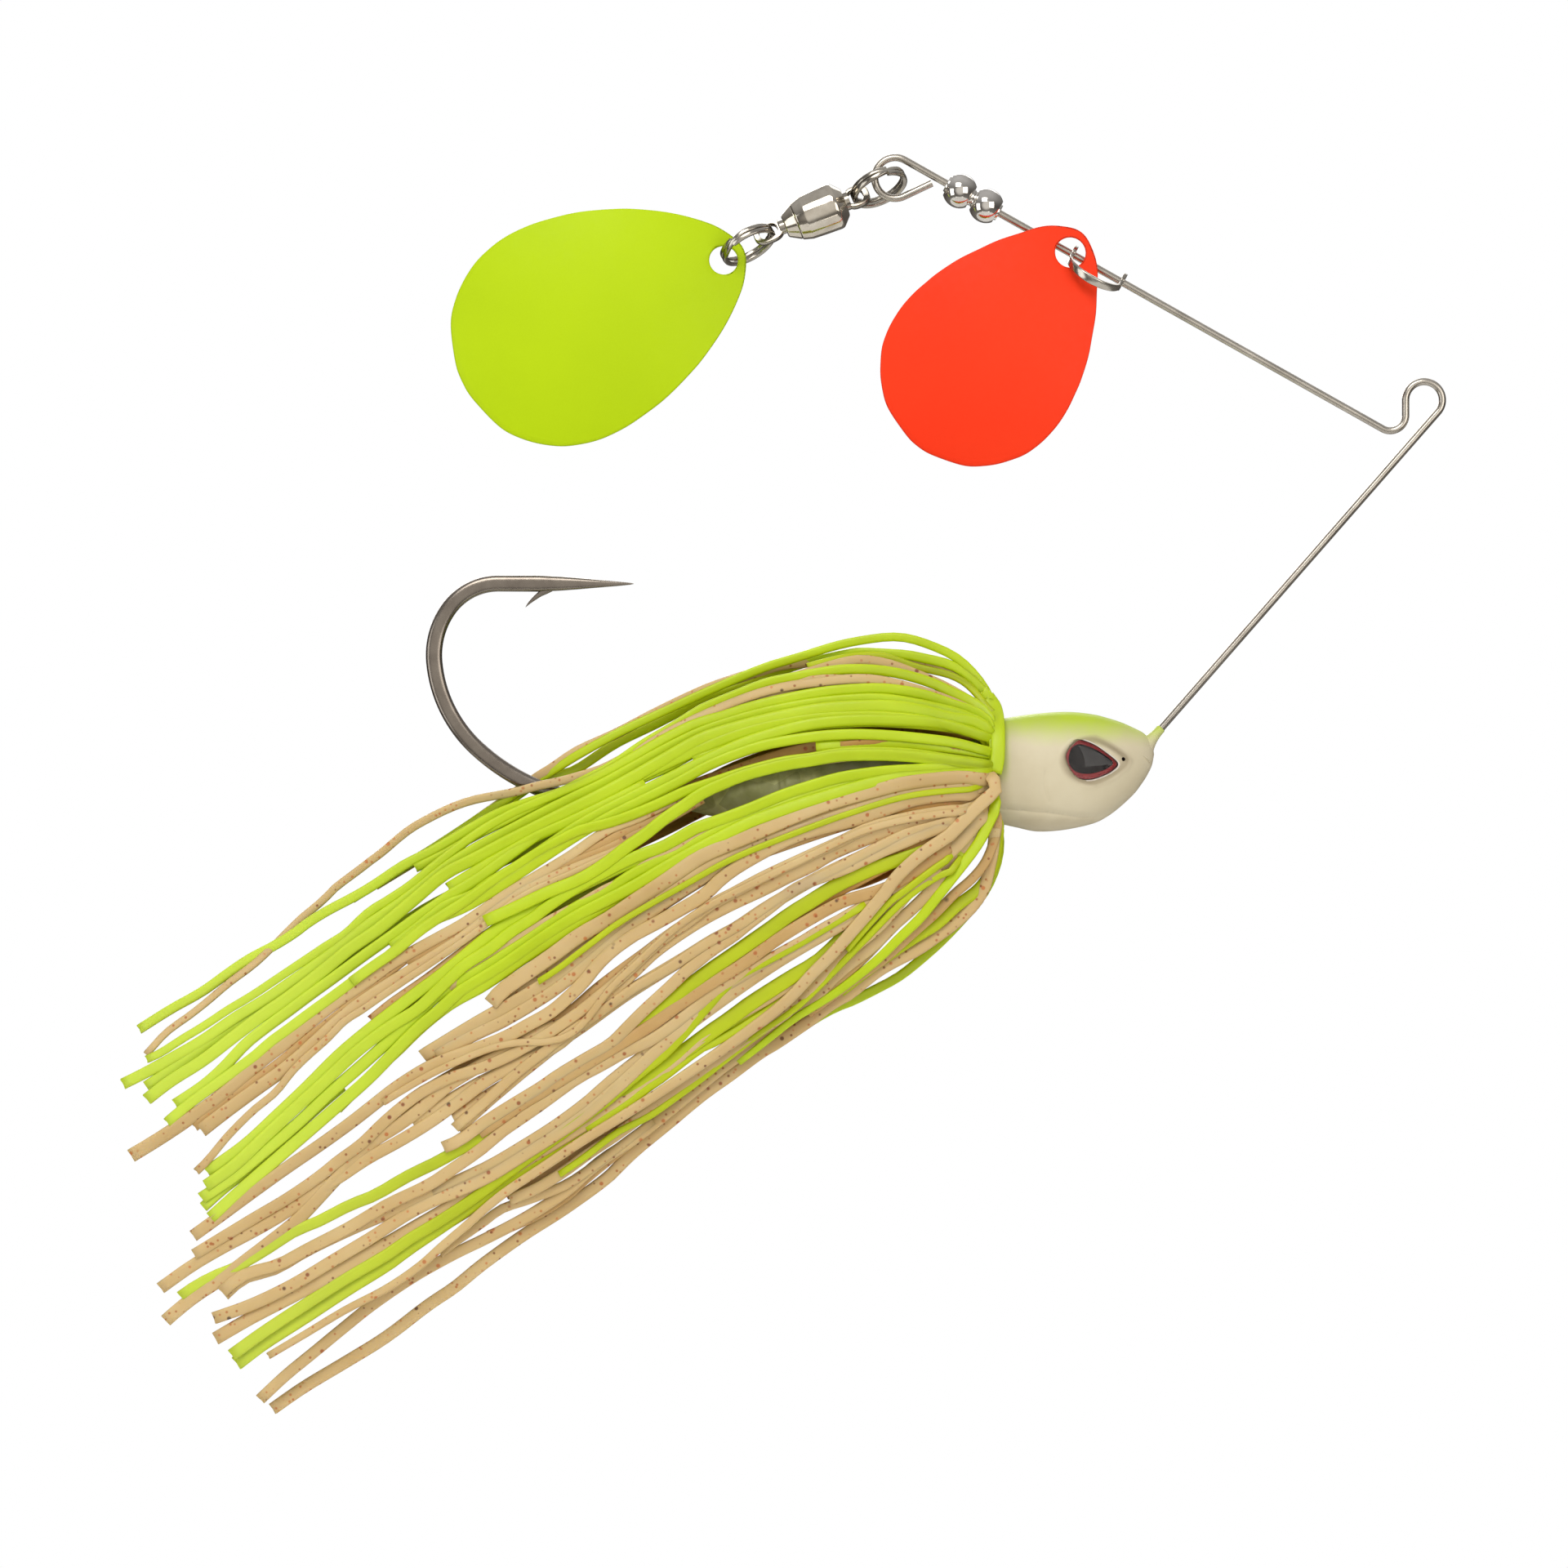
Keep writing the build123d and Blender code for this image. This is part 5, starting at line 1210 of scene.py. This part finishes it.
S 1.51 1.51 1 -1 1 | 1218,1012 1216,1040 1210,1068 1206,1085 1194,1106 1171,1129 1148,1146 1122,1164 1096,1177 1071,1192 1053,1207 1037,1219 1020,1228 994,1248 978,1259 950,1278 930,1290 895,1316 860,1341 819,1375 780,1407 760,1426 740,1445 690,1481 640,1513 590,1549 557,1576 523,1599 473,1637 423,1668 373,1698 334,1725
L 1.19 1.19 0 1 0 | 1221,1010 1224,1031 1221,1055 1211,1082 1196,1105 1175,1129 1155,1150 1132,1171 1102,1195 1073,1211 1045,1225 1020,1235 999,1247 975,1262 949,1279
B 1.73 1.51 0 1 0 | 1185,925 1120,914 1060,909 1030,912 982,918 940,926 908,937 880,950 860,962 845,975 814,997
B 1.73 1.73 0 1 0 | 1190,955 1120,940 1040,940 960,958 900,976 870,986 850,990 825,1004 800,1016 780,1028 755,1046 724,1063
B 1.51 1.51 0 1 0 | 1176,905 1155,902 1128,896 1104,893 1069,890 1042,890 1006,894 979,899 950,905 919,914
D 1.51 1.51 0 1 0 | 1175,880 1150,868 1123,858 1091,854 1060,853 1020,856 979,865
W 1.51 1.51 0 1 0 | 1200,985 1160,987 1128,988 1104,989 1079,993 1060,998 1040,1004 1009,1013
B 2.16 1.73 0 1 0 | 1185,1000 1165,1015 1145,1032 1120,1048 1100,1058 1080,1068 1055,1078 1030,1086 1003,1104
W 0.86 0.86 0 1 0 | 1000,978 940,998 918,1007 896,1016 872,1027 848,1041 813,1056 778,1073 744,1091 709,1111 674,1132
W 1.73 1.73 -1 -1 1 | 1190,975 1116,990 1043,1006 969,1030 901,1055 860,1075 820,1101 780,1123 740,1149 700,1181 660,1213 620,1239 580,1263 544,1284
W 1.73 1.73 -1 -1 1 | 1190,968 1100,985 1010,1012 930,1040 870,1070 820,1101 770,1136 730,1166 700,1191 670,1216 640,1236 611,1252
S 1.62 1.62 -1 -1 1 | 1180,975 1079,985 980,1018 890,1055 820,1091 760,1129 700,1169 640,1215 600,1244 560,1267 522,1290
W 1.30 1.30 -1 -1 1 | 860,1120 820,1143 790,1166 760,1188 730,1211 705,1233 680,1253 649,1270
W 1.51 1.40 -1 -1 1 | 760,1213 720,1248 680,1276 640,1299 600,1321 575,1339 551,1356
S 1.19 1.08 0 -1 1 | 841,1175 800,1200 762,1224 715,1258 690,1275 665,1295 640,1315 620,1332 600,1349 580,1367 561,1383
S 1.19 1.19 0 -1 1 | 858,1242 832,1261 806,1277 788,1290 765,1308 742,1327 716,1350 678,1378 640,1402 601,1425 563,1443 529,1458
S 1.30 1.08 0 -1 1 | 800,1373 760,1403 720,1433 690,1452 650,1468 615,1480 590,1498 560,1519 539,1535
W 1.30 1.30 -1 -1 1 | 800,1379 760,1409 720,1441 690,1467 650,1491 599,1513
B 1.94 1.73 -1 -1 1 | 1195,998 1160,1015 1130,1032 1100,1050 1070,1066 1040,1082 1010,1098 980,1118 950,1138 909,1165
B 1.51 1.51 -1 -1 1 | 1205,985 1180,984 1150,985 1110,988 1060,996 1010,1008 959,1025
B 1.30 1.30 -1 -1 1 | 1205,920 1180,916 1150,912 1110,909 1060,911 1029,914
B 1.51 1.51 0 1 0 | 960,955 905,976 870,988 845,1000 820,1013 795,1025 770,1037 740,1051 700,1069 659,1087
W 1.51 1.51 -1 -1 1 | 860,978 820,1001 780,1023 740,1043 700,1059 660,1079 620,1101 580,1127 540,1153 499,1180
L 1.30 1.30 0 -1 1 | 790,959 740,985 700,1005 660,1023 620,1045 585,1065 549,1087
L 1.08 1.08 0 -1 1 | 700,967 660,985 620,1005 580,1025 545,1045 509,1063
W 1.30 1.30 -1 -1 1 | 680,1091 640,1115 600,1142 560,1171 520,1201 481,1228 455,1249
W 1.08 1.08 -1 -1 1 | 500,1173 450,1213 415,1241 380,1269 340,1302 300,1331 262,1359 239,1380
L 1.30 1.30 -1 -1 1 | 420,1163 380,1191 340,1219 287,1256 240,1291 205,1313 179,1330
L 1.30 1.30 -1 -1 1 | 420,1331 380,1365 340,1401 300,1435 270,1459 249,1478
L 1.08 1.08 -1 -1 1 | 900,880 860,897 820,917 780,939 740,959 699,982
L 1.08 1.08 -1 -1 1 | 900,903 860,918 820,939 780,957 740,977 699,1000
L 1.08 1.08 -1 -1 1 | 880,930 840,947 800,967 760,987 720,1007 680,1033 639,1060
D 1.30 1.30 -2 -1 1 | 700,1011 650,1039 600,1063 560,1091 520,1113 480,1139 440,1163 400,1191 359,1220
B 1.51 1.51 -2 -1 1 | 1190,925 1140,912 1080,908 1020,912 960,924 900,944 850,962 799,987
D 1.51 1.51 -2 -1 1 | 1195,890 1140,870 1080,860 1020,862 960,872 900,890 850,910 800,936 750,961 699,986
D 1.51 1.51 -2 -1 1 | 1195,880 1140,856 1080,838 1020,840 960,852 900,868 850,888 799,913
D 1.51 1.51 -2 -1 1 | 1100,948 1030,962 960,985 900,1008 850,1032 800,1055 750,1079 700,1107 650,1135 600,1167 559,1196
D 1.51 1.51 -2 -1 1 | 620,1141 580,1173 540,1203 500,1233 460,1263 420,1301 380,1337 340,1373 299,1408
W 1.51 1.51 -2 -1 1 | 700,1231 650,1263 600,1291 560,1313 520,1337 489,1362
W 1.51 1.51 -2 -1 1 | 900,1192 860,1218 820,1246 780,1273 739,1300
W 1.51 1.51 -2 -1 1 | 820,1331 780,1361 740,1387 700,1413 660,1437 619,1462
W 1.51 1.51 -2 -1 1 | 620,1456 580,1479 540,1503 500,1529 460,1551 420,1576 380,1601 339,1627
W 1.51 1.51 -2 -1 1 | 1080,1150 1040,1185 1000,1220 960,1252 920,1282 880,1310 839,1339
L 1.08 1.08 -1 -1 1 | 1222,905 1200,900 1170,893 1140,889 1100,886 1060,885 1000,889 950,899 900,913 849,931
L 1.30 1.30 -1 -1 1 | 1222,925 1200,922 1170,917 1140,914 1100,912 1060,911 999,914
D 1.51 1.51 -1 -1 1 | 1180,1040 1140,1068 1104,1098 1070,1126 1040,1150 1014,1175 985,1195 955,1215 917,1239 880,1263 848,1287 815,1310 780,1335 744,1362
W 1.30 1.30 -1 -1 1 | 1130,1100 1090,1140 1050,1180 1010,1212 970,1240 930,1268 889,1297
S 1.19 1.08 -1 -1 1 | 696,1260 660,1285 620,1308 590,1322 560,1339 530,1358 506,1376
S 1.19 1.08 -1 -1 1 | 672,1286 640,1313 605,1334 580,1351 555,1369
W 1.08 1.08 -1 -1 1 | 850,984 800,1004 760,1021 725,1041 689,1057
"""
MIDLINE = np.array([(1222, 944, 70, 5.0), (1205, 950, 105, 6.6), (1170, 962, 150, 8.0), (1110, 985, 195, 9.2), (1020, 1015, 215, 9.7), (920, 1055, 212, 9.6),
                    (820, 1110, 212, 9.1), (720, 1180, 225, 8.6), (620, 1245, 235, 8.0), (520, 1310, 240, 7.4), (420, 1380, 240, 6.8), (320, 1450, 235, 6.3), (180, 1545, 230, 5.8)], float)


def shell(p):
    """Where a reading lies across the skirt: share of half width (-1 to 1) and the skirt's half depth there, in mm."""
    a, b = MIDLINE[:-1], MIDLINE[1:]
    ab = b[:, :2] - a[:, :2]
    t = ((p - a[:, :2]) * ab).sum(1) / (ab * ab).sum(1)
    tc = np.clip(t, 0, 1)
    q = a[:, :2] + ab * tc[:, None]
    d = np.linalg.norm(p - q, axis=1)
    k = d.argmin()
    nrm = np.array([ab[k][1], -ab[k][0]]) / np.linalg.norm(ab[k])
    w = a[k, 2] + (b[k, 2] - a[k, 2]) * tc[k]
    dep = a[k, 3] + (b[k, 3] - a[k, 3]) * tc[k]
    return float(np.dot(p - q[k], nrm) / w), float(dep)


HOOK_PX = np.array([((x * 10 + 1743.7), (489.8 - z * 10)) for x, _, z in hk.pts[::3]])
TAN_T = math.tan(math.radians(TILT))
strand_rng = random.Random(41)


def strand_path(course, side, layer, depth=1.0):
    """Course readings to a path in space on the skirt's shell, seen in the same place from the front."""
    px = spline([(a, b, 0) for a, b in course], max(24, int(sum(math.dist(p, q) for p, q in zip(course, course[1:])) / 17)))[:, :2]
    pts = []
    for p in px:
        f, dep = shell(p)
        y = dep * math.sqrt(max(0.0, 1 - min(1.0, abs(f)) ** 2)) * 0.97
        pts.append(y)
    y = np.array(pts)
    for _ in range(6):
        y[1:-1] = 0.5 * y[1:-1] + 0.25 * (y[2:] + y[:-2])
    y = y * depth + 0.5 + 0.34 * layer * (1.0 if depth > 0.9 else 0.3)
    near = np.array([np.sqrt(((HOOK_PX - p) ** 2).sum(1)).min() for p in px])
    floor_ = 0.35 + 1.45 * np.clip((46 - near) / 22, 0, 1)
    y = np.maximum(y, floor_)
    # stay outside the cast tail
    for i, p in enumerate(px):
        x, z = look(*p)
        if -92 < x < -52.5:
            za = KEEP_Z + (x + 51.9) * TAN_T
            R = 4.35 if x < -62 else 4.1
            dz = abs(z - za)
            if dz < R:
                y[i] = max(y[i], math.sqrt(R * R - dz * dz))
    for _ in range(3):
        y[1:-1] = 0.5 * y[1:-1] + 0.25 * (y[2:] + y[:-2])
    out = []
    for p, yy in zip(px, y):
        Y_ = side * yy
        x, z = look(*p)
        k = (DIST + Y_) / DIST
        out.append((cam_x + (x - cam_x) * k, Y_, cam_z + (z - cam_z) * k))
    return np.array(out)


def rooted(path):
    """Adds the fold behind the head: out of the collar, forward along the keeper, and round into the course."""
    x, y, z = path[0]
    za = KEEP_Z + (x + 51.9) * TAN_T
    r = math.hypot(y, z - za)
    ry, rz = y / r, (z - za) / r
    if r < 7.2:
        path = path.copy()
        path[:, 0] = np.minimum(path[:, 0], -52.95 + np.maximum(0, np.hypot(path[:, 1], path[:, 2] - za) - 7.2) * 2)
        x = path[0][0]
    j = strand_rng.uniform(-0.12, 0.12)
    root = []
    for rx, rr in ((-57.6, 3.52), (-56.2, 3.5), (-54.9, 3.6 + j), (-53.9, 4.15 + j), (-53.35, min(5.1, 0.5 * (r + 4.15)))):
        root.append((rx, ry * rr, KEEP_Z + (rx + 51.9) * TAN_T + rz * rr))
    both = np.vstack([np.array(root), path[0:1] if r > 5.6 else path[1:2], path[1:]])
    n = max(30, int(len(path) * 1.25) + 8)
    return spline(both, n)


groups = {}
NODE_OF = {1: "right", -1: "left"}


def lay(colour, w0, w1, layer, side, course, fold=True, depth=1.0):
    path = strand_path(course, side, layer, depth)
    start = course[0]
    if fold and start[0] > 1150:
        path = rooted(path)
    n = len(path)
    P = path[::-1]
    T = np.gradient(P, axis=0)
    T /= np.linalg.norm(T, axis=1)[:, None]
    nrm = np.array([0.0, 1.0, 0.0])
    ph, amp, cyc = strand_rng.uniform(0, 6.28), math.radians(strand_rng.uniform(6, 16)), strand_rng.uniform(0.7, 1.8)
    sec = []
    hw_, ht_ = 0.5, 0.5
    base_sec = rounded_rect(1.0, 1.0, 0.30, 2)
    V = []
    thick = 0.56
    for i, p in enumerate(P):
        nrm = nrm - T[i] * np.dot(nrm, T[i])
        nrm /= np.linalg.norm(nrm)
        bn = np.cross(T[i], nrm)
        t = i / (n - 1)
        tw = amp * math.sin(ph + cyc * 6.28 * t)
        c_, s_ = math.cos(tw), math.sin(tw)
        w = (w1 + (w0 - w1) * t) * (DIST + p[1]) / DIST
        w *= 1 - 0.18 * math.exp(-((1 - t) * n * 0.17) ** 2)
        for a, b in base_sec:
            a2, b2 = a * thick, b * w
            V.append(p + nrm * (a2 * c_ - b2 * s_) + bn * (a2 * s_ + b2 * c_))
    k = len(base_sec)
    F = grid_faces(n, k)
    # blunt, slightly slanting cut
    cut = strand_rng.uniform(-0.25, 0.25)
    for j in range(k):
        off = base_sec[j][1] * cut
        V[j] = V[j] - T[0] * off
    F.append(tuple(range(k)))
    F.append(tuple(range((n - 1) * k, n * k))[::-1])
    yy = start[1]
    word = "upper" if yy < 905 else "upper_middle" if yy < 947 else "lower_middle" if yy < 1000 else "lower"
    fam = "chartreuse" if colour in "LD" else "sand"
    g = groups.setdefault((word, NODE_OF[side], fam), [[], [], []])
    b = len(g[0])
    g[0].extend(V)
    g[1].extend([tuple(v + b for v in f) for f in F])
    # colour letters D, W and B pick the shaded copies: painted shade for strands under or behind others
    g[2].extend([{"L": 0, "D": 1, "S": 0, "W": 1, "B": 2}[colour]] * len(F))


for row in STRANDS.strip().splitlines():
    head_, body_ = row.split("|")
    colour, w0, w1, layer, side, twin = head_.split()
    w0, w1, layer, side = float(w0), float(w1), int(layer), int(side)
    course = [tuple(float(v) for v in p.split(",")) for p in body_.split()]
    # under-layers lie deeper in the skirt, and the mirrored side is spread through its depth
    lay(colour, w0, w1, layer, side, course, depth=1.0 if layer > -2 else 0.7)
    if int(twin):
        lay(colour, w0, w1, layer, -side, course, depth=strand_rng.choice((1.0, 1.0, 1.0, 0.85, 0.65)) if layer > -1 else (0.8, 0.35)[layer < -1])
    # crest and keel strands also close the skirt over its middle
    across = [shell(np.array(p))[0] for p in course if 700 < p[0] < 1150]
    if int(twin) and layer > -2 and across and abs(sum(across) / len(across)) > 0.42:
        lay(colour, w0 * 0.95, w1 * 0.95, 0, side, course, depth=0.30)
        lay(colour, w0 * 0.95, w1 * 0.95, 0, -side, course, depth=0.30)

for (word, which, fam), (V, F, mi) in sorted(groups.items()):
    mats = [M["sk_lime"], M["sk_lime_deep"]] if fam == "chartreuse" else [M["sk_sand"], M["sk_sand_deep"], M["sk_sand_inner"]]
    o = add_mesh(f"strands_{word}_{which}_{fam}", V, F, mats, mi)
    recalc(o)
    node = f"skirt_{word}_{which}"
    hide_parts(node)
